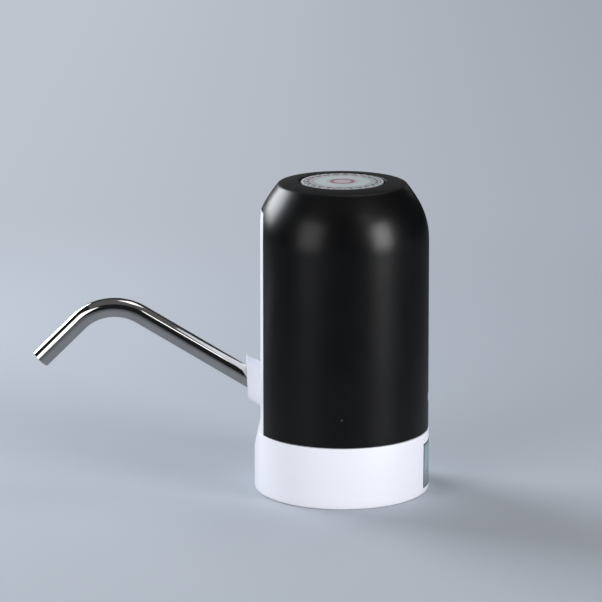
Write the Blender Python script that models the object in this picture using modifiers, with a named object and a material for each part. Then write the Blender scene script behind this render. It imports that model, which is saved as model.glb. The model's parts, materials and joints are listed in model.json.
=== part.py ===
# Bottled water pump: a battery pump that stands on the neck of a large water bottle.
#
# The origin is the middle of the face that the bottle's mouth meets, inside the
# base. Z points up along the body's axis, and the spout points to -X.
# Every length is in metres and every angle in radians.

import math

import bpy
import bmesh
from mathutils import Matrix, Vector

# Gaps between pieces that touch, and what cutters need

FIT = 0.0003
OVERRUN = 0.002
WELD = 0.00001
SOFT_EDGE = 0.0004

# How many sides a round piece has

LARGE_SIDES = 52
MIDDLE_SIDES = 24
SMALL_SIDES = 12
TINY_SIDES = 8
SOFT_EDGE_STEPS = 1

# Base: the white foot with the socket for the bottle's neck

NECK_RADIUS = 0.0282
NECK_DEPTH = 0.0205
NECK_WALL = 0.0016
NECK_RAISE = 0.0010
SKIRT_GAP = 0.0047
BASE_WALL = 0.0020
FOOT_ROUND = 0.0008
SEAT_RADIUS = 0.0080
SEAT_GROOVE_WIDTH = 0.0006
SEAT_GROOVE_DEPTH = 0.0004
FLOOR = 0.0022
RIM = 0.0055
SPIGOT_WALL = 0.0016
SPIGOT_HEIGHT = 0.0030
RIB_COUNT = 12
RIB_THICKNESS = 0.0014
RIB_RAISE = 0.0025
GRIP_COUNT = 6
GRIP_RADIUS = 0.0008
GRIP_STAND_OUT = 0.0004

REST = -NECK_DEPTH
BASE_RADIUS = NECK_RADIUS + NECK_WALL + SKIRT_GAP + BASE_WALL

# Shell: the black cover with its dome and crown

SHELL_STEP = 0.0002
SHELL_DRAFT = 0.00033
SHELL_WALL = 0.0018
DOME_HEIGHT = 0.0244
CROWN_WIDTH = 0.0085
CROWN_RISE = 0.0009
DOME_LOWER_PULL = 0.0104
DOME_UPPER_PULL = 0.0102
DOME_END_SLOPE = math.radians(52.6)
DOME_STEPS = 6

SHELL_BOTTOM = RIM + FIT
SHELL_RADIUS = BASE_RADIUS - SHELL_STEP
SHELL_INNER = SHELL_RADIUS - SHELL_WALL

# Front panel: the flat white strip that shows through the front of the shell

PANEL_SET_BACK = 0.00265
PANEL_STAND_OUT = 0.0013
PANEL_THICKNESS = 0.0023
PANEL_PLAY = 0.0002
LIP_DROP = 0.0109
FLARE_RISE = 0.0025
FLARE_FALL = 0.0087

PANEL_DEPTH = SHELL_RADIUS - PANEL_SET_BACK
PANEL_BACK = -PANEL_DEPTH + PANEL_THICKNESS
SHELL_CUT_DEPTH = PANEL_DEPTH - PANEL_STAND_OUT
FLARE_TOP = RIM + FLARE_RISE

# Spout: a bent steel tube in a slanted white socket

SPOUT_LIFT = 0.01764
SPOUT_RISE = math.radians(31.0)
SPOUT_LEG = 0.0581
SPOUT_BEND_RADIUS = 0.0216
SPOUT_TURN = math.radians(75.8)
SPOUT_END = 0.0225
SPOUT_RADIUS = 0.0040
SPOUT_WALL = 0.0005
SPOUT_INSERT = 0.0080
SPOUT_BEND_STEPS = 8
SPOUT_SIDE_ROWS = 6

SOCKET_RADIUS = 0.00815
SOCKET_REACH = 0.0057
SOCKET_LEAN = math.radians(2.6)
SOCKET_FLANGE_WIDTH = 0.0220
SOCKET_FLANGE_HEIGHT = 0.0250
SOCKET_FLANGE_THICKNESS = 0.0018
SLEEVE_WALL = 0.0013
SLEEVE_COVER = 0.0008
SLEEVE_SEAT = 0.0015

SPOUT_ORIGIN = Vector((-PANEL_DEPTH, 0, RIM + SPOUT_LIFT))
SPOUT_TILT = -(math.pi / 2 - SPOUT_RISE)
SLEEVE_RADIUS = SPOUT_RADIUS + FIT + SLEEVE_WALL

# Hoses and the nipples that they are pushed on

NIPPLE_RADIUS = 0.0023
NIPPLE_BORE = 0.0014
NIPPLE_LENGTH = 0.0070
BARB_STEP = 0.0003
BARB_COUNT = 2
HOSE_WALL = 0.0011
HOSE_STEPS = 6
HOSE_SIDE_ROWS = 4
HOSE_PULL_SHARE = 0.75

HOSE_BORE = NIPPLE_RADIUS + BARB_STEP + FIT
HOSE_RADIUS = HOSE_BORE + HOSE_WALL

# Suction fitting in the floor, and the gasket on the bottle's mouth

INLET_BODY_RADIUS = 0.0034
INLET_FLANGE_RADIUS = 0.0060
INLET_FLANGE_THICKNESS = 0.0014
INLET_TAIL_LENGTH = 0.0130
INLET_TAIL_BARBS = 3
GASKET_WIDTH = 0.0042
GASKET_THICKNESS = 0.0013

# Pump: cover, valves, diaphragm and case

PUMP_X = 0.0060
PUMP_Y = -0.0110
PUMP_RADIUS = 0.0135
PUMP_LIFT = 0.0260
SUCTION_OFFSET = 0.0078
DELIVERY_OFFSET = -0.0026
COVER_THICKNESS = 0.0050
COVER_POCKET = 0.0030
COVER_WALL = 0.0012
VALVE_PLATE_THICKNESS = 0.0020
VALVE_HOLE_RADIUS = 0.0008
VALVE_IN_STEP = 0.0012
VALVE_OUT_STEP = 0.0024
DIAPHRAGM_THICKNESS = 0.0012
CUP_COUNT = 3
CUP_GAP = 0.0010
CUP_RADIUS = 0.0042
CUP_WALL = 0.0009
CUP_HEIGHT = 0.0040
PUMP_CASE_WALL = 0.0015
PUMP_SCREW_INSET = 0.0026
PUMP_SCREW_COUNT = 3
PUMP_SCREW_RADIUS = 0.0008
PUMP_SCREW_HEAD = 0.0016
PUMP_SCREW_BITE = 0.0030
PUMP_PILLAR_RADIUS = 0.0022
OUTLET_FLAP_MARGIN = 0.0002
OUTLET_FLAP_THICKNESS = 0.0008

CUP_CIRCLE = PUMP_RADIUS - PUMP_CASE_WALL - CUP_GAP - CUP_RADIUS
VALVE_IN_CIRCLE = CUP_CIRCLE + VALVE_IN_STEP
VALVE_OUT_CIRCLE = CUP_CIRCLE - VALVE_OUT_STEP
PUMP_SCREW_CIRCLE = PUMP_RADIUS - PUMP_SCREW_INSET
OUTLET_FLAP_RADIUS = VALVE_OUT_CIRCLE + VALVE_HOLE_RADIUS + OUTLET_FLAP_MARGIN

# Drive: motor, shaft, crank and the swinging plate over the diaphragm's cups

MOTOR_STEP = 0.0013
MOTOR_FLAT_DEPTH = 0.0022
MOTOR_LENGTH = 0.0308
MOTOR_BOSS_RADIUS = 0.0030
MOTOR_END_BOSS = 0.0012
MOTOR_CAP_THICKNESS = 0.0024
MOTOR_CAP_INSET = 0.0008
TERMINAL_WIDTH = 0.0024
TERMINAL_THICKNESS = 0.0005
TERMINAL_HEIGHT = 0.0038
TERMINAL_SPACING = 0.0130
SHAFT_RADIUS = 0.0010
SHAFT_SEAT = 0.0050
SWING_TILT = math.radians(3.0)
CRANK_RADIUS = 0.0048
CRANK_HEIGHT = 0.0036
CRANK_SHAFT_SEAT = 0.0018
CRANK_PIN_RADIUS = 0.0008
CRANK_PIN_SEAT = 0.0012
SWING_THICKNESS = 0.0016
SWING_ARM_WIDTH = 0.0034
SWING_HUB_RADIUS = 0.0032
SWING_HUB_HEIGHT = 0.0018

MOTOR_RADIUS = PUMP_RADIUS - MOTOR_STEP
MOTOR_FLAT = MOTOR_RADIUS - MOTOR_FLAT_DEPTH
SWING_SAG = (CUP_CIRCLE + SWING_ARM_WIDTH / 2) * math.sin(SWING_TILT)
SWING_LIFT = SWING_HUB_RADIUS * math.sin(SWING_TILT)

COVER_FOOT = RIM + PUMP_LIFT
VALVE_FOOT = COVER_FOOT + COVER_THICKNESS + FIT
DIAPHRAGM_FOOT = VALVE_FOOT + VALVE_PLATE_THICKNESS + FIT
DIAPHRAGM_TOP = DIAPHRAGM_FOOT + DIAPHRAGM_THICKNESS
CASE_FOOT = DIAPHRAGM_TOP + FIT
PIVOT = DIAPHRAGM_TOP + CUP_HEIGHT + FIT + SWING_SAG + SWING_THICKNESS
CRANK_FOOT = PIVOT + SWING_HUB_HEIGHT + SWING_LIFT + FIT
CRANK_TOP = CRANK_FOOT + CRANK_HEIGHT
CASE_ROOF = CRANK_TOP + FIT
CASE_TOP = CASE_ROOF + PUMP_CASE_WALL
MOTOR_FOOT = CASE_TOP + FIT
MOTOR_CAP_FOOT = MOTOR_FOOT + MOTOR_LENGTH + FIT
TERMINAL_FOOT = MOTOR_CAP_FOOT + MOTOR_CAP_THICKNESS + FIT
TERMINAL_TOP = TERMINAL_FOOT + TERMINAL_HEIGHT

# Inner frame with its cradles, and the clamp that closes the pump's cradle

CRADLE_WALL = 0.0018
CRADLE_GRIP = 0.0149
CRADLE_SKIRT = 0.0060
CRADLE_LEDGE = 0.0007
CRADLE_WEB = 0.0027
PUMP_CRADLE_MOUTH = 0.0065
BATTERY_CRADLE_MOUTH = 0.0035
FRAME_WEB_HALF_WIDTH = 0.0080
FRAME_BOSS_HEIGHT = 0.0040
FRAME_BOSS_RADIUS = 0.0028
FRAME_EAR_THICKNESS = 0.0025
FRAME_EAR_SIZE = 0.0070
CLAMP_LIFT = 0.0019
CLAMP_HEIGHT = 0.0090

BATTERY_X = 0.0060
BATTERY_RADIUS = 0.0092
BATTERY_LENGTH = 0.0650
BATTERY_LIFT = 0.0073
BATTERY_TIP_RADIUS = 0.0028
BATTERY_TIP_HEIGHT = 0.0012
BATTERY_EDGE = 0.0004
TAB_WIDTH = 0.0050
TAB_THICKNESS = 0.0004
TAB_LENGTH = 0.0120

CRADLE_TOP = MOTOR_FOOT + CRADLE_GRIP
BATTERY_FOOT = FLOOR + BATTERY_LIFT
PUMP_BORE = PUMP_RADIUS + FIT
BATTERY_BORE = BATTERY_RADIUS + FIT
WEB_Y = PUMP_Y + PUMP_BORE + CRADLE_WEB / 2
BATTERY_Y = WEB_Y + CRADLE_WEB / 2 + BATTERY_BORE

# Screws that close the shell, hold the frame and hold the boards

SCREW_SHANK = 0.0011
SCREW_HEAD = 0.0019
SCREW_HEAD_HEIGHT = 0.0015
SCREW_BITE = 0.0080
SCREW_INSET = 0.00235
SCREW_COUNT = 4
SHELL_BOSS_RADIUS = 0.0029
SHELL_BOSS_LENGTH = 0.0160
SHELL_SCREW_TURN = math.radians(45)
BOSS_SEAT = 0.0004
SHORT_SCREW_BITE = 0.0038

SCREW_CIRCLE = SHELL_INNER - SCREW_INSET

# Charging board with its socket, at the back

PORT_LIFT = 0.0130
PORT_WIDTH = 0.0076
PORT_TALL = 0.0027
PORT_DEEP = 0.0056
PORT_WALL = 0.0004
PORT_MARGIN = 0.0009
PORT_TONGUE_THICKNESS = 0.0006
BOARD_THICKNESS = 0.0012
CHARGE_BOARD_LENGTH = 0.0125
CHARGE_BOARD_WIDTH = 0.0200
CHARGE_BOARD_GAP = 0.0008
CHARGE_POST_RADIUS = 0.0021
CHARGE_POST_INSET = 0.0030
CHIP_LENGTH = 0.0050
CHIP_WIDTH = 0.0040
CHIP_HEIGHT = 0.0015

PORT_MIDDLE = RIM + PORT_LIFT

# Button, its board and the switch under it

BUTTON_RADIUS = 0.0177
BUTTON_GAP = 0.0003
BUTTON_RECESS = 0.0010
BUTTON_TOP_THICKNESS = 0.0016
BUTTON_SKIRT_WALL = 0.0013
BUTTON_SKIRT = 0.0062
BUTTON_FLANGE = 0.0016
BUTTON_FLANGE_THICKNESS = 0.0010
BUTTON_TRAVEL = 0.0006
BUTTON_PIP_RADIUS = 0.0016
OVERLAY_MARGIN = 0.0006
OVERLAY_THICKNESS = 0.0005
WELL_WALL = 0.0018
HEADROOM = 0.0070
BOARD_MARGIN = 0.0026
BUTTON_BOARD_GAP = 0.0014
BOARD_POST_RADIUS = 0.0022
BOARD_POST_GAP = 0.0004
BOARD_POST_COUNT = 3
BOARD_POST_TURN = math.radians(30)
SWITCH_SIZE = 0.0060
SWITCH_HEIGHT = 0.0030
PLUNGER_RADIUS = 0.0016
PLUNGER_HEIGHT = 0.0034
PLUNGER_SEAT = 0.0012
LED_LENGTH = 0.0032
LED_WIDTH = 0.0020
LED_HEIGHT = 0.0011
LED_SPREAD = 0.0105

OVERLAY_RADIUS = BUTTON_RADIUS - OVERLAY_MARGIN
HOLE_RADIUS = BUTTON_RADIUS + BUTTON_GAP
BUTTON_FLANGE_RADIUS = BUTTON_RADIUS + BUTTON_FLANGE
BOARD_POST_CIRCLE = HOLE_RADIUS + WELL_WALL + BOARD_POST_GAP + BOARD_POST_RADIUS
BUTTON_BOARD_RADIUS = BOARD_POST_CIRCLE + BOARD_MARGIN
BUTTON_BOARD_TOP = TERMINAL_TOP + HEADROOM + BOARD_THICKNESS
BUTTON_FOOT = BUTTON_BOARD_TOP + BUTTON_BOARD_GAP
BUTTON_TOP = BUTTON_FOOT + BUTTON_FLANGE_THICKNESS + BUTTON_SKIRT

# Top of the body, which follows the button

CROWN = BUTTON_TOP + BUTTON_RECESS
CREASE = CROWN - CROWN_RISE
CREASE_RADIUS = HOLE_RADIUS + CROWN_WIDTH
SHOULDER = CREASE - DOME_HEIGHT
LIP = CREASE - LIP_DROP


# Collections and materials

def clear_scene():
    for obj in list(bpy.data.objects):
        bpy.data.objects.remove(obj, do_unlink=True)


def new_collection(name):
    collection = bpy.data.collections.new(name)
    bpy.context.scene.collection.children.link(collection)
    return collection


def new_material(name, colour, roughness, metallic=0.0, alpha=1.0):
    material = bpy.data.materials.new(name)
    material.use_nodes = True
    shader = material.node_tree.nodes["Principled BSDF"]
    shader.inputs["Base Color"].default_value = (*colour, 1)
    shader.inputs["Roughness"].default_value = roughness
    shader.inputs["Metallic"].default_value = metallic
    shader.inputs["Alpha"].default_value = alpha
    return material


clear_scene()
PARTS = new_collection("bottled_water_pump")
CUTTERS = new_collection("cutters")

WHITE_PLASTIC = new_material("white_plastic", (0.86, 0.87, 0.89), 0.32)
BLACK_PLASTIC = new_material("black_plastic", (0.012, 0.012, 0.014), 0.42)
BUTTON_PLASTIC = new_material("button_plastic", (0.015, 0.015, 0.017), 0.5)
OVERLAY_FILM = new_material("overlay_film", (0.45, 0.48, 0.48), 0.3, 0.6)
POLISHED_STEEL = new_material("polished_steel", (0.62, 0.61, 0.60), 0.12, 1.0)
SILICONE = new_material("silicone", (0.80, 0.82, 0.83), 0.5, 0.0, 0.8)
GREY_PLASTIC = new_material("grey_plastic", (0.35, 0.36, 0.38), 0.45)
PUMP_PLASTIC = new_material("pump_plastic", (0.70, 0.70, 0.68), 0.4)
MOTOR_STEEL = new_material("motor_steel", (0.50, 0.50, 0.50), 0.3, 1.0)
BOARD_GREEN = new_material("board_green", (0.02, 0.16, 0.06), 0.45)
BATTERY_WRAP = new_material("battery_wrap", (0.03, 0.16, 0.42), 0.35)
NICKEL = new_material("nickel", (0.66, 0.63, 0.57), 0.3, 1.0)
SCREW_STEEL = new_material("screw_steel", (0.45, 0.45, 0.46), 0.35, 1.0)
SWITCH_BLACK = new_material("switch_black", (0.02, 0.02, 0.02), 0.5)
LAMP_CLEAR = new_material("lamp_clear", (0.75, 0.30, 0.28), 0.2)


# Shapes

def add_object(name, mesh, material=None):
    obj = bpy.data.objects.new(name, mesh)
    PARTS.objects.link(obj)
    if material:
        mesh.materials.append(material)
    return obj


def mesh_object(name, shape, material=None):
    """An object from a bmesh, which it uses up."""
    mesh = bpy.data.meshes.new(name)
    bmesh.ops.recalc_face_normals(shape, faces=shape.faces)
    shape.to_mesh(mesh)
    shape.free()
    return add_object(name, mesh, material)


def block(name, low, high, material=None):
    """A box between two corners."""
    shape = bmesh.new()
    bmesh.ops.create_cube(shape, size=1)
    low, high = Vector(low), Vector(high)
    bmesh.ops.scale(shape, vec=high - low, verts=shape.verts)
    bmesh.ops.translate(shape, vec=(low + high) / 2, verts=shape.verts)
    return mesh_object(name, shape, material)


def rod(name, radius, bottom, top, sides, material=None, at=(0, 0)):
    """An upright cylinder from bottom to top."""
    shape = bmesh.new()
    bmesh.ops.create_cone(
        shape, cap_ends=True, segments=sides,
        radius1=radius, radius2=radius, depth=top - bottom,
    )
    bmesh.ops.translate(shape, vec=(*at, (bottom + top) / 2), verts=shape.verts)
    obj = mesh_object(name, shape, material)
    smooth(obj)
    return obj


def turned(name, profile, sides, material=None, closed=False):
    """A profile of (radius, height) points, turned about Z."""
    mesh = bpy.data.meshes.new(name)
    points = [(radius, 0, height) for radius, height in profile]
    edges = [(i, i + 1) for i in range(len(points) - 1)]
    if closed:
        edges.append((len(points) - 1, 0))
    mesh.from_pydata(points, edges, [])
    obj = add_object(name, mesh, material)
    screw = obj.modifiers.new("turn", "SCREW")
    screw.axis = "Z"
    screw.steps = sides
    screw.render_steps = sides
    screw.use_merge_vertices = True
    screw.merge_threshold = WELD
    screw.use_smooth_shade = True
    return obj


def outline_plate(name, outline, thickness, material=None):
    """A flat outline in XY, thickness tall and centred on Z = 0."""
    curve = bpy.data.curves.new(name, "CURVE")
    curve.dimensions = "2D"
    curve.fill_mode = "BOTH"
    curve.extrude = thickness / 2
    spline = curve.splines.new("POLY")
    spline.points.add(len(outline) - 1)
    for point, (x, y) in zip(spline.points, outline):
        point.co = (x, y, 0, 1)
    spline.use_cyclic_u = True
    return curve_to_mesh(name, curve, material)


def curve_to_mesh(name, curve, material=None):
    """The curve's surface as a mesh object, with its caps welded."""
    guide = bpy.data.objects.new(name + "_curve", curve)
    bpy.context.scene.collection.objects.link(guide)
    bpy.context.view_layer.update()
    evaluated = guide.evaluated_get(bpy.context.evaluated_depsgraph_get())
    mesh = bpy.data.meshes.new_from_object(evaluated)
    mesh.name = name
    bpy.data.objects.remove(guide, do_unlink=True)
    shape = bmesh.new()
    shape.from_mesh(mesh)
    bmesh.ops.remove_doubles(shape, verts=shape.verts, dist=WELD)
    bmesh.ops.recalc_face_normals(shape, faces=shape.faces)
    shape.to_mesh(mesh)
    shape.free()
    mesh.materials.clear()
    return add_object(name, mesh, material)


def pipe(name, points, radius, wall, side_rows, material):
    """A hollow tube along a row of points, open at both ends."""
    curve = bpy.data.curves.new(name, "CURVE")
    curve.dimensions = "3D"
    curve.bevel_depth = radius
    curve.bevel_resolution = side_rows
    curve.use_fill_caps = False
    spline = curve.splines.new("POLY")
    spline.points.add(len(points) - 1)
    for point, place in zip(spline.points, points):
        point.co = (*place, 1)
    spline.use_smooth = True
    curve.materials.append(material)
    obj = bpy.data.objects.new(name, curve)
    PARTS.objects.link(obj)
    thicken = obj.modifiers.new("wall", "SOLIDIFY")
    thicken.thickness = wall
    thicken.offset = -1
    return obj


def smooth(obj):
    obj.data.shade_smooth()
    obj.data.set_sharp_from_angle(angle=math.radians(35))


def soften(obj, width=SOFT_EDGE):
    bevel = obj.modifiers.new("soft_edges", "BEVEL")
    bevel.width = width
    bevel.segments = SOFT_EDGE_STEPS
    bevel.limit_method = "ANGLE"


def combine(target, tool, operation):
    """A Boolean with a helper, which moves to the cutters."""
    if tool.name in PARTS.objects:
        PARTS.objects.unlink(tool)
        CUTTERS.objects.link(tool)
    tool.hide_render = True
    tool.display_type = "WIRE"
    boolean = target.modifiers.new(tool.name, "BOOLEAN")
    boolean.operation = operation
    boolean.object = tool


def cut(target, tool):
    combine(target, tool, "DIFFERENCE")


def join(target, tool):
    combine(target, tool, "UNION")


def keep_inside(target, tool):
    combine(target, tool, "INTERSECT")


def around(count, radius, start=0.0):
    """Places evenly round the Z axis, each with its angle."""
    for i in range(count):
        angle = start + 2 * math.pi * i / count
        yield angle, radius * math.cos(angle), radius * math.sin(angle)


def anchor(name, place, turn=(0, 0, 0)):
    """An empty on a joint's axis, which the moving pieces hang on."""
    empty = bpy.data.objects.new(name, None)
    empty.location = place
    empty.rotation_euler = turn
    PARTS.objects.link(empty)
    return empty


def hang_on(obj, empty):
    obj.parent = empty
    return obj


def screw(name, bite, grip, radius=SCREW_SHANK, head=SCREW_HEAD):
    """A pan-head screw at the origin, pointing up: its head lies below Z = 0."""
    profile = [
        (0, grip + bite),
        (radius, grip + bite),
        (radius, 0),
        (head, 0),
        (head, -SCREW_HEAD_HEIGHT / 2),
        (head - SOFT_EDGE, -SCREW_HEAD_HEIGHT),
        (0, -SCREW_HEAD_HEIGHT),
    ]
    return turned(name, profile, TINY_SIDES, SCREW_STEEL)


# The dome's outline, shared by the shell and the front panel

def dome_points(inset=0.0):
    """The shell's outer outline from the crease down to its foot, moved inwards by inset."""
    shoulder_radius = SHELL_RADIUS - SHELL_DRAFT
    slope = Vector((math.sin(DOME_END_SLOPE), math.cos(DOME_END_SLOPE)))
    ends = [
        Vector((shoulder_radius, SHOULDER)),
        Vector((shoulder_radius, SHOULDER + DOME_LOWER_PULL)),
        Vector((CREASE_RADIUS, CREASE)) + Vector((slope.y, -slope.x)) * DOME_UPPER_PULL,
        Vector((CREASE_RADIUS, CREASE)),
    ]
    points = []
    for step in range(DOME_STEPS + 1):
        t = step / DOME_STEPS
        u = 1 - t
        place = ends[0] * u**3 + ends[1] * 3 * u * u * t + ends[2] * 3 * u * t * t + ends[3] * t**3
        along = (ends[1] - ends[0]) * u * u + (ends[2] - ends[1]) * 2 * u * t + (ends[3] - ends[2]) * t * t
        outward = Vector((along.y, -along.x)).normalized()
        points.append(place - outward * inset)
    points.reverse()
    points.append(Vector((SHELL_RADIUS - inset, SHELL_BOTTOM)))
    return [tuple(point) for point in points]


def dome_stock(name, inset):
    """A solid of the dome's outline, to trim the front panel with."""
    points = dome_points(inset)
    top = (0, points[0][1])
    foot_radius = points[-1][0]
    foot = [(foot_radius, REST), (0, REST)]
    return turned(name, [top, *points, *foot], LARGE_SIDES)


# Base and front panel, one white moulding

def base_body():
    inner = BASE_RADIUS - BASE_WALL
    spigot = SHELL_INNER - FIT
    ring = NECK_RADIUS + NECK_WALL
    profile = [
        (0, FLOOR),
        (spigot - SPIGOT_WALL, FLOOR),
        (spigot - SPIGOT_WALL, RIM + SPIGOT_HEIGHT),
        (spigot, RIM + SPIGOT_HEIGHT),
        (spigot, RIM),
        (BASE_RADIUS, RIM),
        (BASE_RADIUS, REST + FOOT_ROUND),
        (BASE_RADIUS - FOOT_ROUND, REST),
        (inner, REST),
        (inner, 0),
        (ring, 0),
        (ring, REST + NECK_RAISE),
        (NECK_RADIUS, REST + NECK_RAISE),
        (NECK_RADIUS, 0),
        (SEAT_RADIUS + SEAT_GROOVE_WIDTH, 0),
        (SEAT_RADIUS + SEAT_GROOVE_WIDTH / 2, SEAT_GROOVE_DEPTH),
        (SEAT_RADIUS, 0),
        (0, 0),
    ]
    base = turned("base_body", profile, LARGE_SIDES, WHITE_PLASTIC)
    join(base, front_panel())
    for i, (angle, x, y) in enumerate(around(RIB_COUNT, (ring + inner) / 2)):
        rib = block(
            f"rib_{i + 1}",
            (-(inner - ring) / 2 - BASE_WALL / 2, -RIB_THICKNESS / 2, REST + RIB_RAISE),
            ((inner - ring) / 2 + BASE_WALL / 2, RIB_THICKNESS / 2, FLOOR / 2),
        )
        rib.location = (x, y, 0)
        rib.rotation_euler = (0, 0, angle)
        join(base, rib)
    cut(base, flare_cutter())
    grip_circle = NECK_RADIUS + GRIP_RADIUS - GRIP_STAND_OUT
    for i, (_, x, y) in enumerate(around(GRIP_COUNT, grip_circle, math.pi / GRIP_COUNT)):
        join(base, rod(
            f"grip_{i + 1}", GRIP_RADIUS, REST + 2 * NECK_RAISE, FLOOR / 2, TINY_SIDES, at=(x, y),
        ))
    for i, (x, y) in enumerate(charge_post_places()):
        post = rod(
            f"charge_post_{i + 1}", CHARGE_POST_RADIUS, FLOOR / 2, charge_board_foot() - FIT,
            SMALL_SIDES, at=(x, y),
        )
        join(base, post)
        cut(base, rod(
            f"charge_post_hole_{i + 1}", SCREW_SHANK + FIT, charge_board_foot() - SHORT_SCREW_BITE - FIT,
            charge_board_foot() + OVERRUN, TINY_SIDES, at=(x, y),
        ))
    for i, (x, y) in enumerate(frame_screw_places()):
        boss_top = FLOOR + FRAME_BOSS_HEIGHT
        join(base, rod(
            f"frame_boss_{i + 1}", FRAME_BOSS_RADIUS, FLOOR / 2, boss_top, SMALL_SIDES, at=(x, y),
        ))
        cut(base, rod(
            f"frame_boss_hole_{i + 1}", SCREW_SHANK + FIT, boss_top - SHORT_SCREW_BITE - FIT,
            boss_top + OVERRUN, TINY_SIDES, at=(x, y),
        ))
    for i, (_, x, y) in enumerate(around(SCREW_COUNT, SCREW_CIRCLE, SHELL_SCREW_TURN)):
        cut(base, rod(
            f"boss_notch_{i + 1}", SHELL_BOSS_RADIUS + FIT, FLOOR - BOSS_SEAT, RIM + SPIGOT_HEIGHT + OVERRUN,
            SMALL_SIDES, at=(x, y),
        ))
        cut(base, rod(
            f"shell_screw_hole_{i + 1}", SCREW_SHANK + FIT, -OVERRUN, FLOOR + OVERRUN,
            TINY_SIDES, at=(x, y),
        ))
    cut(base, rod(
        "inlet_hole", INLET_BODY_RADIUS + FIT, -OVERRUN, FLOOR + OVERRUN,
        MIDDLE_SIDES, at=inlet_place(),
    ))
    socket_hole = rod(
        "socket_hole", SOCKET_RADIUS + FIT, -SOCKET_RADIUS, SOCKET_RADIUS * 2, MIDDLE_SIDES,
    )
    socket_hole.location = SPOUT_ORIGIN
    socket_hole.rotation_euler = (0, SPOUT_TILT, 0)
    cut(base, socket_hole)
    return base


def front_panel():
    """The flat strip: a thin face as wide as the shell's opening, on a thicker back inside the shell."""
    low = FLOOR / 2
    high = LIP - FIT
    outline = [
        (-SHELL_CUT_DEPTH - FIT, low),
        (-SHELL_CUT_DEPTH - FIT, high),
        (-PANEL_DEPTH, high),
        (-PANEL_DEPTH, FLARE_TOP),
        (-BASE_RADIUS - OVERRUN, FLARE_TOP),
        (-BASE_RADIUS - OVERRUN, low),
    ]
    panel = side_plate("panel_face", outline)
    keep_inside(panel, dome_stock("outer_stock", 0.0))
    backing = block(
        "panel_back",
        (-PANEL_DEPTH, -SHELL_RADIUS, low),
        (PANEL_BACK, SHELL_RADIUS, high),
    )
    keep_inside(backing, dome_stock("inner_stock", SHELL_WALL + FIT + PANEL_PLAY))
    join(panel, backing)
    return panel


def flare_cutter():
    """A wedge that slopes the base's front out from the flat panel to the full round."""
    run = BASE_RADIUS - PANEL_DEPTH
    drop = FLARE_RISE + FLARE_FALL
    reach = (run + OVERRUN * 2) / run
    outline = [
        (-PANEL_DEPTH, FLARE_TOP),
        (-PANEL_DEPTH - run * reach, FLARE_TOP - drop * reach),
        (-PANEL_DEPTH - run * reach, FLARE_TOP + OVERRUN),
        (-PANEL_DEPTH - OVERRUN, FLARE_TOP + OVERRUN),
    ]
    return side_plate("flare_wedge", outline)


def side_plate(name, outline):
    """An outline of (x, z) points, as deep as the base is wide."""
    plate = outline_plate(name, outline, BASE_RADIUS * 2)
    plate.rotation_euler = (math.pi / 2, 0, 0)
    return plate


# Black shell with its well for the button

def outer_shell():
    profile = [(HOLE_RADIUS - OVERRUN, CROWN), (HOLE_RADIUS + SOFT_EDGE, CROWN), *dome_points()]
    shell = turned("outer_shell", profile, LARGE_SIDES, BLACK_PLASTIC)
    thicken = shell.modifiers.new("wall", "SOLIDIFY")
    thicken.thickness = SHELL_WALL
    thicken.offset = -1
    thicken.use_even_offset = True
    well_foot = BUTTON_FOOT + BUTTON_FLANGE_THICKNESS + FIT
    inside_crown = CROWN - SHELL_WALL / 2
    join(shell, rod(
        "well_wall", HOLE_RADIUS + WELL_WALL, well_foot, inside_crown, LARGE_SIDES,
    ))
    posts = around(BOARD_POST_COUNT, BOARD_POST_CIRCLE, BOARD_POST_TURN)
    for i, (_, x, y) in enumerate(posts):
        post_top = CREASE - SHELL_WALL / 2
        join(shell, rod(
            f"board_post_{i + 1}", BOARD_POST_RADIUS, BUTTON_BOARD_TOP + FIT, post_top,
            SMALL_SIDES, at=(x, y),
        ))
        cut(shell, rod(
            f"board_post_hole_{i + 1}", SCREW_SHANK + FIT, BUTTON_BOARD_TOP - OVERRUN,
            BUTTON_BOARD_TOP + SHORT_SCREW_BITE + FIT, TINY_SIDES, at=(x, y),
        ))
    for i, (_, x, y) in enumerate(around(SCREW_COUNT, SCREW_CIRCLE, SHELL_SCREW_TURN)):
        foot = FLOOR - BOSS_SEAT + FIT
        join(shell, rod(
            f"shell_boss_{i + 1}", SHELL_BOSS_RADIUS, foot, foot + SHELL_BOSS_LENGTH,
            SMALL_SIDES, at=(x, y),
        ))
        cut(shell, rod(
            f"shell_boss_hole_{i + 1}", SCREW_SHANK + FIT, foot - OVERRUN, foot + SCREW_BITE,
            TINY_SIDES, at=(x, y),
        ))
    cut(shell, rod(
        "well_bore", HOLE_RADIUS, well_foot - OVERRUN, CROWN + OVERRUN, LARGE_SIDES,
    ))
    cut(shell, block(
        "front_window",
        (-SHELL_RADIUS - OVERRUN, -SHELL_RADIUS, SHELL_BOTTOM - OVERRUN),
        (-SHELL_CUT_DEPTH, SHELL_RADIUS, LIP),
    ))
    port = block(
        "port_window",
        (SHELL_INNER - OVERRUN, -PORT_WIDTH / 2 - PORT_MARGIN, -PORT_TALL / 2 - PORT_MARGIN),
        (SHELL_RADIUS + OVERRUN, PORT_WIDTH / 2 + PORT_MARGIN, PORT_TALL / 2 + PORT_MARGIN),
    )
    port.location = (0, 0, PORT_MIDDLE)
    cut(shell, port)
    return shell


# Button and what it presses

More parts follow.
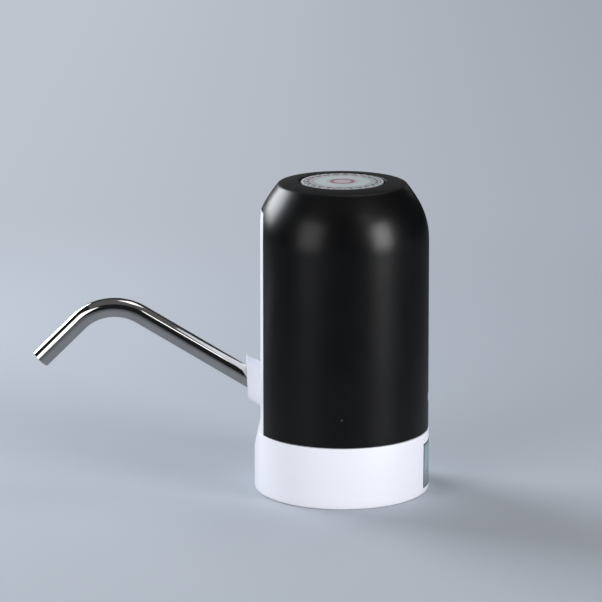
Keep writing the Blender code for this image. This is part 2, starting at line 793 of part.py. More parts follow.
def button_cap(stage):
    """The round cap, with a skirt and a flange that the well keeps in."""
    inner = BUTTON_RADIUS - BUTTON_SKIRT_WALL
    under = -BUTTON_TOP_THICKNESS
    foot = -BUTTON_SKIRT - BUTTON_FLANGE_THICKNESS
    profile = [
        (0, 0),
        (BUTTON_RADIUS, 0),
        (BUTTON_RADIUS, -BUTTON_SKIRT),
        (BUTTON_FLANGE_RADIUS, -BUTTON_SKIRT),
        (BUTTON_FLANGE_RADIUS, foot),
        (inner, foot),
        (inner, under),
        (BUTTON_PIP_RADIUS, under),
        (BUTTON_PIP_RADIUS, plunger_top() + FIT - BUTTON_TOP),
        (0, plunger_top() + FIT - BUTTON_TOP),
    ]
    return hang_on(turned("button_cap", profile, LARGE_SIDES, BUTTON_PLASTIC), stage)


def button_overlay(stage):
    return hang_on(
        rod("button_overlay", OVERLAY_RADIUS, FIT, FIT + OVERLAY_THICKNESS, LARGE_SIDES, OVERLAY_FILM),
        stage,
    )


def switch_top():
    return BUTTON_BOARD_TOP + FIT + SWITCH_HEIGHT


def plunger_foot():
    return switch_top() - PLUNGER_SEAT


def plunger_top():
    return plunger_foot() + PLUNGER_HEIGHT


def switch_body():
    body = block(
        "switch_body",
        (-SWITCH_SIZE / 2, -SWITCH_SIZE / 2, BUTTON_BOARD_TOP + FIT),
        (SWITCH_SIZE / 2, SWITCH_SIZE / 2, switch_top()),
        SWITCH_BLACK,
    )
    soften(body)
    cut(body, rod(
        "plunger_bore", PLUNGER_RADIUS + FIT, plunger_foot() - BUTTON_TRAVEL - FIT,
        switch_top() + OVERRUN, SMALL_SIDES,
    ))
    return body


def switch_plunger(stage):
    plunger = rod(
        "switch_plunger", PLUNGER_RADIUS, plunger_foot() - BUTTON_TOP, plunger_top() - BUTTON_TOP,
        SMALL_SIDES, GREY_PLASTIC,
    )
    return hang_on(plunger, stage)


def button_board():
    top = BUTTON_BOARD_TOP
    board = rod(
        "button_board", BUTTON_BOARD_RADIUS, top - BOARD_THICKNESS, top, MIDDLE_SIDES, BOARD_GREEN,
    )
    posts = around(BOARD_POST_COUNT, BOARD_POST_CIRCLE, BOARD_POST_TURN)
    for i, (_, x, y) in enumerate(posts):
        cut(board, rod(
            f"button_board_hole_{i + 1}", SCREW_SHANK + FIT, top - BOARD_THICKNESS - OVERRUN,
            top + OVERRUN, TINY_SIDES, at=(x, y),
        ))
        fastener = screw(f"button_board_screw_{i + 1}", SHORT_SCREW_BITE - FIT, BOARD_THICKNESS + FIT)
        fastener.location = (x, y, top - BOARD_THICKNESS - FIT)
    return board


def status_leds():
    for name, side in (("run_led", -1), ("charge_led", 1)):
        lamp = block(
            name,
            (side * LED_SPREAD - LED_LENGTH / 2, -LED_WIDTH / 2, BUTTON_BOARD_TOP + FIT),
            (side * LED_SPREAD + LED_LENGTH / 2, LED_WIDTH / 2, BUTTON_BOARD_TOP + FIT + LED_HEIGHT),
            LAMP_CLEAR,
        )
        soften(lamp, SOFT_EDGE / 2)


# Charging board and its socket

def charge_board_foot():
    return PORT_MIDDLE - PORT_TALL / 2 - FIT - BOARD_THICKNESS


def charge_board_back():
    return SHELL_INNER - CHARGE_BOARD_GAP


def charge_post_places():
    x = charge_board_back() - CHARGE_BOARD_LENGTH + CHARGE_POST_INSET
    y = CHARGE_BOARD_WIDTH / 2 - CHARGE_POST_INSET
    return [(x, -y), (x, y)]


def charge_board():
    foot = charge_board_foot()
    half = CHARGE_BOARD_WIDTH / 2
    back = charge_board_back()
    board = block(
        "charge_board",
        (back - CHARGE_BOARD_LENGTH, -half, foot),
        (back, half, foot + BOARD_THICKNESS),
        BOARD_GREEN,
    )
    chip_x = back - CHARGE_BOARD_LENGTH + CHIP_WIDTH
    join(board, block(
        "charge_chip",
        (chip_x - CHIP_WIDTH / 2, -CHIP_LENGTH / 2, foot + BOARD_THICKNESS / 2),
        (chip_x + CHIP_WIDTH / 2, CHIP_LENGTH / 2, foot + BOARD_THICKNESS + CHIP_HEIGHT),
    ))
    keep_inside(board, rod(
        "board_round", back, foot - OVERRUN, foot + BOARD_THICKNESS + CHIP_HEIGHT + OVERRUN, LARGE_SIDES,
    ))
    for i, (x, y) in enumerate(charge_post_places()):
        cut(board, rod(
            f"charge_board_hole_{i + 1}", SCREW_SHANK + FIT, foot - OVERRUN,
            foot + BOARD_THICKNESS + OVERRUN, TINY_SIDES, at=(x, y),
        ))
        fastener = screw(f"charge_board_screw_{i + 1}", SHORT_SCREW_BITE - FIT, BOARD_THICKNESS + FIT)
        fastener.rotation_euler = (math.pi, 0, 0)
        fastener.location = (x, y, foot + BOARD_THICKNESS + FIT)
    return board


def usb_socket():
    """The metal hood of the charging socket, open to the back, with the tongue inside."""
    mouth = charge_board_back() - FIT
    low = PORT_MIDDLE - PORT_TALL / 2
    high = PORT_MIDDLE + PORT_TALL / 2
    hood = block(
        "usb_socket",
        (mouth - PORT_DEEP, -PORT_WIDTH / 2, low),
        (mouth, PORT_WIDTH / 2, high),
        NICKEL,
    )
    soften(hood)
    cut(hood, block(
        "port_cavity",
        (mouth - PORT_DEEP + PORT_WALL * 2, -PORT_WIDTH / 2 + PORT_WALL, low + PORT_WALL),
        (mouth + OVERRUN, PORT_WIDTH / 2 - PORT_WALL, high - PORT_WALL),
    ))
    join(hood, block(
        "port_tongue",
        (mouth - PORT_DEEP + PORT_WALL, -PORT_WIDTH / 4, PORT_MIDDLE),
        (mouth - PORT_WALL * 2, PORT_WIDTH / 4, PORT_MIDDLE + PORT_TONGUE_THICKNESS),
    ))
    return hood


# Suction side: gasket, fitting and the first hose

def inlet_place():
    return (PUMP_X + SUCTION_OFFSET, PUMP_Y)


def barbs(foot, step, count, length):
    """The outline of a barbed nipple from its foot to its open end, as (radius, height) points."""
    points = []
    pitch = length / count
    for i in range(count):
        near = foot + step * pitch * i
        points.append((NIPPLE_RADIUS + BARB_STEP, near))
        points.append((NIPPLE_RADIUS - BARB_STEP, near + step * pitch))
    return points


def inlet_fitting():
    """A flanged piece through the floor: a barbed tail below, a nipple above."""
    seat = FLOOR + FIT
    top = seat + INLET_FLANGE_THICKNESS
    upper = barbs(top, 1, BARB_COUNT, NIPPLE_LENGTH)
    tail = barbs(-FIT, -1, INLET_TAIL_BARBS, INLET_TAIL_LENGTH)
    profile = [
        (NIPPLE_BORE, top + NIPPLE_LENGTH),
        *reversed(upper),
        (INLET_FLANGE_RADIUS, top),
        (INLET_FLANGE_RADIUS, seat),
        (INLET_BODY_RADIUS, seat),
        (INLET_BODY_RADIUS, -FIT),
        *tail,
        (NIPPLE_BORE, -FIT - INLET_TAIL_LENGTH),
    ]
    fitting = turned("inlet_fitting", profile, SMALL_SIDES, GREY_PLASTIC, closed=True)
    fitting.location = (*inlet_place(), 0)
    return fitting


def neck_gasket():
    outer = NECK_RADIUS - GRIP_STAND_OUT - FIT
    profile = [
        (outer, -FIT),
        (outer, -FIT - GASKET_THICKNESS),
        (outer - GASKET_WIDTH, -FIT - GASKET_THICKNESS),
        (outer - GASKET_WIDTH, -FIT),
    ]
    return turned("neck_gasket", profile, MIDDLE_SIDES, SILICONE, closed=True)


def inlet_hose():
    foot = FLOOR + FIT + INLET_FLANGE_THICKNESS + FIT
    top = COVER_FOOT - FIT
    x, y = inlet_place()
    return pipe("inlet_hose", [(x, y, foot), (x, y, top)], HOSE_RADIUS, HOSE_WALL, HOSE_SIDE_ROWS, SILICONE)


# Pump stack, from its cover up to the motor

def cup_places():
    return list(around(CUP_COUNT, CUP_CIRCLE, math.pi / 2))


def pump_screw_places():
    return [
        (PUMP_X + x, PUMP_Y + y)
        for _, x, y in around(PUMP_SCREW_COUNT, PUMP_SCREW_CIRCLE, -math.pi / 2)
    ]


def drill_for_pump_screws(target, name, low, high):
    for i, place in enumerate(pump_screw_places()):
        cut(target, rod(
            f"{name}_screw_hole_{i + 1}", PUMP_SCREW_RADIUS + FIT, low, high, TINY_SIDES, at=place,
        ))


def pump_cover():
    """The pump's end: two nipples below, and above a suction ring round the delivery chamber."""
    top = COVER_FOOT + COVER_THICKNESS
    place = (PUMP_X, PUMP_Y)
    cover = rod("pump_cover", PUMP_RADIUS, COVER_FOOT, top, MIDDLE_SIDES, PUMP_PLASTIC, at=place)
    ports = (("suction", SUCTION_OFFSET), ("delivery", DELIVERY_OFFSET))
    for name, offset in ports:
        nipple = turned(
            f"{name}_nipple",
            [
                (0, SOFT_EDGE),
                (NIPPLE_RADIUS + BARB_STEP, SOFT_EDGE),
                *barbs(0, -1, BARB_COUNT, NIPPLE_LENGTH),
                (0, -NIPPLE_LENGTH),
            ],
            SMALL_SIDES,
        )
        nipple.location = (PUMP_X + offset, PUMP_Y, COVER_FOOT)
        join(cover, nipple)
    ring_inner = OUTLET_FLAP_RADIUS + FIT + COVER_WALL
    ring_outer = PUMP_SCREW_CIRCLE - PUMP_SCREW_RADIUS - COVER_WALL
    ring = turned(
        "suction_ring",
        [
            (ring_outer, COVER_POCKET + OVERRUN),
            (ring_outer, 0),
            (ring_inner, 0),
            (ring_inner, COVER_POCKET + OVERRUN),
        ],
        MIDDLE_SIDES, closed=True,
    )
    ring.location = (*place, top - COVER_POCKET)
    cut(cover, ring)
    cut(cover, rod(
        "delivery_chamber", OUTLET_FLAP_RADIUS + FIT, top - COVER_POCKET, top + OVERRUN,
        MIDDLE_SIDES, at=place,
    ))
    for name, offset in ports:
        cut(cover, rod(
            f"{name}_bore", NIPPLE_BORE, COVER_FOOT - NIPPLE_LENGTH - OVERRUN,
            top - COVER_POCKET + SOFT_EDGE, TINY_SIDES, at=(PUMP_X + offset, PUMP_Y),
        ))
    drill_for_pump_screws(cover, "cover", COVER_FOOT - OVERRUN, top + OVERRUN)
    return cover


def valve_plate():
    """Two ports under each cup: one in from the ring, one out to the middle."""
    top = VALVE_FOOT + VALVE_PLATE_THICKNESS
    plate = rod("valve_plate", PUMP_RADIUS, VALVE_FOOT, top, MIDDLE_SIDES, PUMP_PLASTIC, at=(PUMP_X, PUMP_Y))
    for i, (angle, _, _) in enumerate(cup_places()):
        for name, radius in (("in", VALVE_IN_CIRCLE), ("out", VALVE_OUT_CIRCLE)):
            place = (PUMP_X + radius * math.cos(angle), PUMP_Y + radius * math.sin(angle))
            cut(plate, rod(
                f"valve_{name}_{i + 1}", VALVE_HOLE_RADIUS, VALVE_FOOT - OVERRUN, top + OVERRUN,
                TINY_SIDES, at=place,
            ))
    drill_for_pump_screws(plate, "valve", VALVE_FOOT - OVERRUN, top + OVERRUN)
    return plate


def outlet_flap():
    """The rubber disc that opens downwards off the valve plate."""
    top = VALVE_FOOT - FIT
    return rod(
        "outlet_flap", OUTLET_FLAP_RADIUS, top - OUTLET_FLAP_THICKNESS, top,
        MIDDLE_SIDES, SILICONE, at=(PUMP_X, PUMP_Y),
    )


def diaphragm():
    """A rubber sheet with three cups, each open to the valve plate below."""
    sheet = rod(
        "diaphragm", PUMP_RADIUS, DIAPHRAGM_FOOT, DIAPHRAGM_TOP, MIDDLE_SIDES, SILICONE,
        at=(PUMP_X, PUMP_Y),
    )
    crown = DIAPHRAGM_TOP + CUP_HEIGHT
    root = DIAPHRAGM_TOP - DIAPHRAGM_THICKNESS / 2
    for i, (_, x, y) in enumerate(cup_places()):
        cup = turned(
            f"cup_{i + 1}",
            [
                (0, crown),
                (CUP_RADIUS - CUP_WALL, crown),
                (CUP_RADIUS, crown - CUP_WALL),
                (CUP_RADIUS, root),
                (0, root),
            ],
            SMALL_SIDES,
        )
        cup.location = (PUMP_X + x, PUMP_Y + y, 0)
        join(sheet, cup)
    for i, (_, x, y) in enumerate(cup_places()):
        cut(sheet, rod(
            f"cup_hollow_{i + 1}", CUP_RADIUS - CUP_WALL, DIAPHRAGM_FOOT - OVERRUN, crown - CUP_WALL,
            SMALL_SIDES, at=(PUMP_X + x, PUMP_Y + y),
        ))
    drill_for_pump_screws(sheet, "diaphragm", DIAPHRAGM_FOOT - OVERRUN, DIAPHRAGM_TOP + OVERRUN)
    return sheet


def pump_case():
    """The case that the drive turns in, open below, with a pillar for each screw."""
    place = (PUMP_X, PUMP_Y)
    case = rod("pump_case", PUMP_RADIUS, CASE_FOOT, CASE_TOP, MIDDLE_SIDES, PUMP_PLASTIC, at=place)
    hollow = rod(
        "case_hollow", PUMP_RADIUS - PUMP_CASE_WALL, CASE_FOOT - OVERRUN, CASE_ROOF,
        MIDDLE_SIDES, at=place,
    )
    for i, screw_place in enumerate(pump_screw_places()):
        cut(hollow, rod(
            f"case_pillar_{i + 1}", PUMP_PILLAR_RADIUS, CASE_FOOT - OVERRUN * 2, CASE_TOP,
            TINY_SIDES, at=screw_place,
        ))
    cut(case, hollow)
    cut(case, rod(
        "case_shaft_hole", MOTOR_BOSS_RADIUS + FIT, CASE_ROOF - OVERRUN,
        CASE_TOP + OVERRUN, SMALL_SIDES, at=place,
    ))
    drill_for_pump_screws(case, "case", CASE_FOOT - OVERRUN, CASE_FOOT + PUMP_SCREW_BITE + FIT)
    return case


def pump_screws():
    grip = CASE_FOOT - COVER_FOOT + FIT
    for i, place in enumerate(pump_screw_places()):
        fastener = screw(
            f"pump_screw_{i + 1}", PUMP_SCREW_BITE - FIT, grip, PUMP_SCREW_RADIUS, PUMP_SCREW_HEAD,
        )
        fastener.location = (*place, COVER_FOOT - FIT)


# Drive: motor, shaft, crank and the swinging plate

def motor_can():
    top = MOTOR_FOOT + MOTOR_LENGTH
    place = (PUMP_X, PUMP_Y)
    can = rod("motor_can", MOTOR_RADIUS, MOTOR_FOOT, top, MIDDLE_SIDES, MOTOR_STEEL, at=place)
    keep_inside(can, block(
        "motor_flats",
        (PUMP_X - MOTOR_RADIUS - OVERRUN, PUMP_Y - MOTOR_FLAT, MOTOR_FOOT - OVERRUN),
        (PUMP_X + MOTOR_RADIUS + OVERRUN, PUMP_Y + MOTOR_FLAT, top + OVERRUN),
    ))
    soften(can)
    join(can, rod(
        "motor_boss", MOTOR_BOSS_RADIUS, CASE_ROOF, MOTOR_FOOT + SOFT_EDGE,
        SMALL_SIDES, at=place,
    ))
    cut(can, rod(
        "motor_bearing", SHAFT_RADIUS + FIT, CASE_ROOF - OVERRUN,
        MOTOR_FOOT + SHAFT_SEAT + FIT, SMALL_SIDES, at=place,
    ))
    return can


def motor_cap():
    """The plastic end of the motor, with its rear bearing."""
    top = MOTOR_CAP_FOOT + MOTOR_CAP_THICKNESS
    radius = MOTOR_RADIUS - MOTOR_CAP_INSET
    flat = MOTOR_FLAT - MOTOR_CAP_INSET
    place = (PUMP_X, PUMP_Y)
    cap = rod("motor_cap", radius, MOTOR_CAP_FOOT, top, MIDDLE_SIDES, BLACK_PLASTIC, at=place)
    keep_inside(cap, block(
        "motor_cap_flats",
        (PUMP_X - radius - OVERRUN, PUMP_Y - flat, MOTOR_CAP_FOOT - OVERRUN),
        (PUMP_X + radius + OVERRUN, PUMP_Y + flat, top + OVERRUN),
    ))
    join(cap, rod(
        "cap_bearing", MOTOR_BOSS_RADIUS, top - SOFT_EDGE, top + MOTOR_END_BOSS, SMALL_SIDES, at=place,
    ))
    return cap


def motor_terminals():
    for name, side in (("motor_terminal_1", -1), ("motor_terminal_2", 1)):
        x = PUMP_X + side * TERMINAL_SPACING / 2
        block(
            name,
            (x - TERMINAL_THICKNESS / 2, PUMP_Y - TERMINAL_WIDTH / 2, TERMINAL_FOOT),
            (x + TERMINAL_THICKNESS / 2, PUMP_Y + TERMINAL_WIDTH / 2, TERMINAL_TOP),
            NICKEL,
        )


def motor_shaft(stage):
    foot = CRANK_TOP - CRANK_SHAFT_SEAT + FIT
    top = MOTOR_FOOT + SHAFT_SEAT
    return hang_on(
        rod("motor_shaft", SHAFT_RADIUS, foot - PIVOT, top - PIVOT, SMALL_SIDES, POLISHED_STEEL), stage,
    )


def crank(stage):
    """The wheel pressed on the shaft, with its leaning hole for the pin."""
    foot = CRANK_FOOT - PIVOT
    top = CRANK_TOP - PIVOT
    wheel = rod("crank", CRANK_RADIUS, foot, top, MIDDLE_SIDES, WHITE_PLASTIC)
    shaft_hole = rod(
        "crank_shaft_hole", SHAFT_RADIUS + FIT, top - CRANK_SHAFT_SEAT, top + OVERRUN, SMALL_SIDES,
    )
    pin_hole = leaning_rod("crank_pin_hole", CRANK_PIN_RADIUS + FIT, foot - OVERRUN, foot + CRANK_PIN_SEAT)
    for hole in (shaft_hole, pin_hole):
        cut(wheel, hang_on(hole, stage))
    return hang_on(wheel, stage)


def leaning_rod(name, radius, low, high, material=None):
    """A thin rod through the pivot that leans as the swinging plate does."""
    shape = rod(name, radius, low, high, TINY_SIDES, material)
    shape.data.transform(Matrix.Rotation(-SWING_TILT, 4, "X"))
    return shape


def crank_pin(stage):
    top = CRANK_FOOT - PIVOT + CRANK_PIN_SEAT - FIT
    return hang_on(leaning_rod("crank_pin", CRANK_PIN_RADIUS, FIT, top, POLISHED_STEEL), stage)


def swing_plate(stage):
    """Three arms over the cups, and a hub that the crank's pin reaches into."""
    plate = rod(
        "swing_plate", SWING_HUB_RADIUS, -SWING_THICKNESS, SWING_HUB_HEIGHT, SMALL_SIDES, PUMP_PLASTIC,
    )
    for i, (angle, _, _) in enumerate(cup_places()):
        arm = block(
            f"swing_arm_{i + 1}",
            (0, -SWING_ARM_WIDTH / 2, -SWING_THICKNESS),
            (CUP_CIRCLE + SWING_ARM_WIDTH / 2, SWING_ARM_WIDTH / 2, 0),
        )
        arm.rotation_euler = (0, 0, angle)
        join(plate, hang_on(arm, stage))
    play = 2 * SWING_HUB_HEIGHT * math.sin(SWING_TILT)
    pocket = rod(
        "pin_pocket", CRANK_PIN_RADIUS + play + FIT, 0, SWING_HUB_HEIGHT + OVERRUN, SMALL_SIDES,
    )
    cut(plate, hang_on(pocket, stage))
    return hang_on(plate, stage)


# Inner frame, clamp, battery

def frame_screw_places():
    """One ear beside the battery's cradle, and one at the web's other end."""
    battery_ear = (BATTERY_X - BATTERY_BORE - CRADLE_WALL - FRAME_EAR_SIZE / 2, BATTERY_Y)
    web_ear = (BATTERY_X + FRAME_WEB_HALF_WIDTH + FRAME_EAR_SIZE / 2, WEB_Y)
    return [battery_ear, web_ear]


def inner_frame():
    """Two cradles back to back: one for the pump, one for the battery."""
    foot = FLOOR + FRAME_BOSS_HEIGHT + FIT
    top = CRADLE_TOP
    pump_foot = COVER_FOOT - CRADLE_SKIRT
    pump_place, battery_place = (PUMP_X, PUMP_Y), (BATTERY_X, BATTERY_Y)
    battery_foot = BATTERY_FOOT - FIT
    frame = rod(
        "inner_frame", BATTERY_BORE + CRADLE_WALL, foot + SOFT_EDGE, top, MIDDLE_SIDES,
        WHITE_PLASTIC, at=battery_place,
    )
    join(frame, rod(
        "pump_cradle", PUMP_BORE + CRADLE_WALL, pump_foot, top - SOFT_EDGE, MIDDLE_SIDES, at=pump_place,
    ))
    join(frame, block(
        "frame_web",
        (BATTERY_X - FRAME_WEB_HALF_WIDTH, WEB_Y - CRADLE_WALL, foot + SOFT_EDGE * 2),
        (BATTERY_X + FRAME_WEB_HALF_WIDTH, WEB_Y + CRADLE_WALL, top - SOFT_EDGE * 2),
    ))
    for i, (x, y) in enumerate(frame_screw_places()):
        inward = BATTERY_X + math.copysign(FRAME_WEB_HALF_WIDTH / 2, x - BATTERY_X)
        join(frame, block(
            f"frame_ear_{i + 1}",
            (min(x - FRAME_EAR_SIZE / 2, inward), y - FRAME_EAR_SIZE / 2, foot),
            (max(x + FRAME_EAR_SIZE / 2, inward), y + FRAME_EAR_SIZE / 2, foot + FRAME_EAR_THICKNESS),
        ))
        cut(frame, rod(
            f"frame_ear_hole_{i + 1}", SCREW_SHANK + FIT, foot - OVERRUN,
            foot + FRAME_EAR_THICKNESS + OVERRUN, TINY_SIDES, at=(x, y),
        ))
    cut(frame, rod("battery_bore", BATTERY_BORE, battery_foot, top + OVERRUN, MIDDLE_SIDES, at=battery_place))
    ledge = COVER_FOOT - FIT
    cut(frame, rod("pump_bore", PUMP_BORE, ledge, top + OVERRUN, MIDDLE_SIDES, at=pump_place))
    cut(frame, rod(
        "pump_lower_bore", PUMP_RADIUS - CRADLE_LEDGE, pump_foot - OVERRUN, ledge + OVERRUN,
        MIDDLE_SIDES, at=pump_place,
    ))
    cut(frame, block(
        "pump_mouth",
        (-BASE_RADIUS, -BASE_RADIUS, foot - OVERRUN),
        (BASE_RADIUS, PUMP_Y + PUMP_CRADLE_MOUTH, top + OVERRUN),
    ))
    cut(frame, block(
        "battery_mouth",
        (-BASE_RADIUS, BATTERY_Y + BATTERY_CRADLE_MOUTH, battery_foot),
        (BASE_RADIUS, BASE_RADIUS, top + OVERRUN),
    ))
    return frame


def frame_screws():
    foot = FLOOR + FRAME_BOSS_HEIGHT + FIT
    for i, (x, y) in enumerate(frame_screw_places()):
        fastener = screw(f"frame_screw_{i + 1}", SHORT_SCREW_BITE - FIT, FRAME_EAR_THICKNESS + FIT)
        fastener.rotation_euler = (math.pi, 0, 0)
        fastener.location = (x, y, foot + FRAME_EAR_THICKNESS + FIT)


def pump_clamp():
    """The front half of the pump's cradle."""
    foot = MOTOR_FOOT + CLAMP_LIFT
    top = foot + CLAMP_HEIGHT
    place = (PUMP_X, PUMP_Y)
    clamp = rod(
        "pump_clamp", PUMP_BORE + CRADLE_WALL, foot, top, MIDDLE_SIDES, WHITE_PLASTIC, at=place,
    )
    cut(clamp, rod("clamp_bore", PUMP_BORE, foot - OVERRUN, top + OVERRUN, MIDDLE_SIDES, at=place))
    cut(clamp, block(
        "clamp_mouth",
        (-BASE_RADIUS, PUMP_Y + PUMP_CRADLE_MOUTH - FIT, foot - OVERRUN),
        (BASE_RADIUS, BASE_RADIUS, top + OVERRUN),
    ))
    return clamp


def battery_cell():
    foot = BATTERY_FOOT
    top = foot + BATTERY_LENGTH
    profile = [
        (0, top + BATTERY_TIP_HEIGHT),
        (BATTERY_TIP_RADIUS, top + BATTERY_TIP_HEIGHT),
        (BATTERY_TIP_RADIUS, top),
        (BATTERY_RADIUS - BATTERY_EDGE, top),
        (BATTERY_RADIUS, top - BATTERY_EDGE),
        (BATTERY_RADIUS, foot + BATTERY_EDGE),
        (BATTERY_RADIUS - BATTERY_EDGE, foot),
        (0, foot),
    ]
    cell = turned("battery_cell", profile, MIDDLE_SIDES, BATTERY_WRAP)
    cell.location = (BATTERY_X, BATTERY_Y, 0)
    return cell


def battery_tab():
    """The nickel strip welded on the cell's upper end."""
    foot = BATTERY_FOOT + BATTERY_LENGTH + BATTERY_TIP_HEIGHT + FIT
    return block(
        "battery_tab",
        (BATTERY_X - TAB_WIDTH / 2, BATTERY_Y - TAB_LENGTH + TAB_WIDTH / 2, foot),
        (BATTERY_X + TAB_WIDTH / 2, BATTERY_Y + TAB_WIDTH / 2, foot + TAB_THICKNESS),
        NICKEL,
    )


# Delivery side: hose, socket, sleeve and spout

def socket_root():
    """How far the socket's nipple starts behind the panel's face, along the spout."""
    return -(SPOUT_INSERT + SLEEVE_SEAT + FIT)


def spout_socket(stage):
    """The slanted collar, its flange inside the panel and the nipple for the hose."""
    root = socket_root()
    reach = SOCKET_RADIUS * 2
    flange_front = PANEL_BACK + FIT
    profile = [
        (0, reach),
        (SOCKET_RADIUS, reach),
        (SOCKET_RADIUS, root),
        *barbs(root, -1, BARB_COUNT, NIPPLE_LENGTH),
        (0, root - NIPPLE_LENGTH),
    ]
    socket = hang_on(turned("spout_socket", profile, MIDDLE_SIDES, WHITE_PLASTIC), stage)
    join(socket, block(
        "socket_flange",
        (flange_front, -SOCKET_FLANGE_WIDTH / 2, SPOUT_ORIGIN.z - SOCKET_FLANGE_HEIGHT / 2),
        (
            flange_front + SOCKET_FLANGE_THICKNESS,
            SOCKET_FLANGE_WIDTH / 2,
            SPOUT_ORIGIN.z + SOCKET_FLANGE_HEIGHT / 2,
        ),
    ))
    front = block("socket_face", (-reach, -reach, -reach), (0, reach, reach))
    front.location = SPOUT_ORIGIN + Vector((-SOCKET_REACH, 0, SOCKET_REACH * math.tan(SPOUT_RISE)))
    front.rotation_euler = (0, -SOCKET_LEAN, 0)
    cut(socket, front)
    bores = (
        ("tube_bore", SPOUT_RADIUS + FIT, sleeve_top(), reach + OVERRUN),
        ("sleeve_groove", SLEEVE_RADIUS + FIT, root + SLEEVE_SEAT, sleeve_top() + FIT),
        ("socket_bore", NIPPLE_BORE, root - NIPPLE_LENGTH - OVERRUN, root + SLEEVE_SEAT + FIT),
    )
    for name, radius, low, high in bores:
        cut(socket, hang_on(rod(name, radius, low, high, MIDDLE_SIDES), stage))
    return socket


def sleeve_top():
    """As far out as the sleeve fits behind the collar's upright face, on its lower side."""
    lower = (SOCKET_REACH - SLEEVE_RADIUS * math.sin(SPOUT_RISE)) / math.cos(SPOUT_RISE)
    return lower - SLEEVE_COVER


def spout_sleeve(stage):
    """The silicone bush that grips the spout and turns with it in the socket."""
    foot = -SPOUT_INSERT
    inner = SPOUT_RADIUS + FIT
    top = sleeve_top()
    profile = [(SLEEVE_RADIUS, top), (SLEEVE_RADIUS, foot), (inner, foot), (inner, top)]
    return hang_on(turned("spout_sleeve", profile, MIDDLE_SIDES, SILICONE, closed=True), stage)


def spout_tube(stage):
    """The bent tube: its straight leg runs along the joint's axis."""
    points = [(0, 0, -SPOUT_INSERT + FIT), (0, 0, SPOUT_LEG)]
    for step in range(1, SPOUT_BEND_STEPS + 1):
        angle = SPOUT_TURN * step / SPOUT_BEND_STEPS
        x = -SPOUT_BEND_RADIUS * (1 - math.cos(angle))
        z = SPOUT_LEG + SPOUT_BEND_RADIUS * math.sin(angle)
        points.append((x, 0, z))
    x, _, z = points[-1]
    points.append((x - SPOUT_END * math.sin(SPOUT_TURN), 0, z + SPOUT_END * math.cos(SPOUT_TURN)))
    tube = pipe("spout_tube", points, SPOUT_RADIUS, SPOUT_WALL, SPOUT_SIDE_ROWS, POLISHED_STEEL)
    return hang_on(tube, stage)


def outlet_hose():
    """From the pump's delivery nipple, down and round to the socket's nipple."""
    outward = Vector((-math.cos(SPOUT_RISE), 0, math.sin(SPOUT_RISE)))
    start = SPOUT_ORIGIN + outward * (socket_root() - FIT)
    first = start - outward * NIPPLE_LENGTH
    last = Vector((PUMP_X + DELIVERY_OFFSET, PUMP_Y, COVER_FOOT - FIT))
    end = last - Vector((0, 0, NIPPLE_LENGTH))
    pull = (end - first).length * HOSE_PULL_SHARE
    bend = [first, first - outward * pull, end - Vector((0, 0, pull)), end]
    points = [start]
    for step in range(HOSE_STEPS + 1):
        t = step / HOSE_STEPS
        u = 1 - t
        points.append(bend[0] * u**3 + bend[1] * 3 * u * u * t + bend[2] * 3 * u * t * t + bend[3] * t**3)
    points.append(last)
    return pipe("outlet_hose", points, HOSE_RADIUS, HOSE_WALL, HOSE_SIDE_ROWS, SILICONE)


def shell_screws():
    for i, (_, x, y) in enumerate(around(SCREW_COUNT, SCREW_CIRCLE, SHELL_SCREW_TURN)):
        fastener = screw(f"shell_screw_{i + 1}", SCREW_BITE - FIT, FLOOR - BOSS_SEAT + FIT * 2)
        fastener.location = (x, y, -FIT)


# Assembly

base_body()
neck_gasket()
inlet_fitting()
inlet_hose()

outer_shell()
shell_screws()

button_axis = anchor("button_axis", (0, 0, BUTTON_TOP))
button_cap(button_axis)
button_overlay(button_axis)
switch_plunger(button_axis)
switch_body()
button_board()
status_leds()

charge_board()
usb_socket()

inner_frame()
frame_screws()
pump_clamp()
battery_cell()
battery_tab()

pump_cover()
valve_plate()
outlet_flap()
diaphragm()
pump_case()
pump_screws()
motor_can()
motor_cap()
motor_terminals()

drive_axis = anchor("drive_axis", (PUMP_X, PUMP_Y, PIVOT))
motor_shaft(drive_axis)
crank(drive_axis)
crank_pin(drive_axis)

swing_axis = anchor("swing_axis", (PUMP_X, PUMP_Y, PIVOT), (-SWING_TILT, 0, 0))
swing_plate(swing_axis)

spout_axis = anchor("spout_axis", SPOUT_ORIGIN, (0, SPOUT_TILT, 0))
spout_socket(spout_axis)
spout_sleeve(spout_axis)
spout_tube(spout_axis)
outlet_hose()
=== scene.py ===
# %% [markdown]
# # A bottled water pump, dressed for its picture
# This pump stands on the neck of a large water bottle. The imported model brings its
# solids in their real places. Each step below either builds a finer piece over one of
# them or gives one a finish, so that the picture looks as a studio photograph does.

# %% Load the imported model
import json
import math

import bmesh
import bpy
from mathutils import Matrix, Vector
from mathutils.geometry import interpolate_bezier


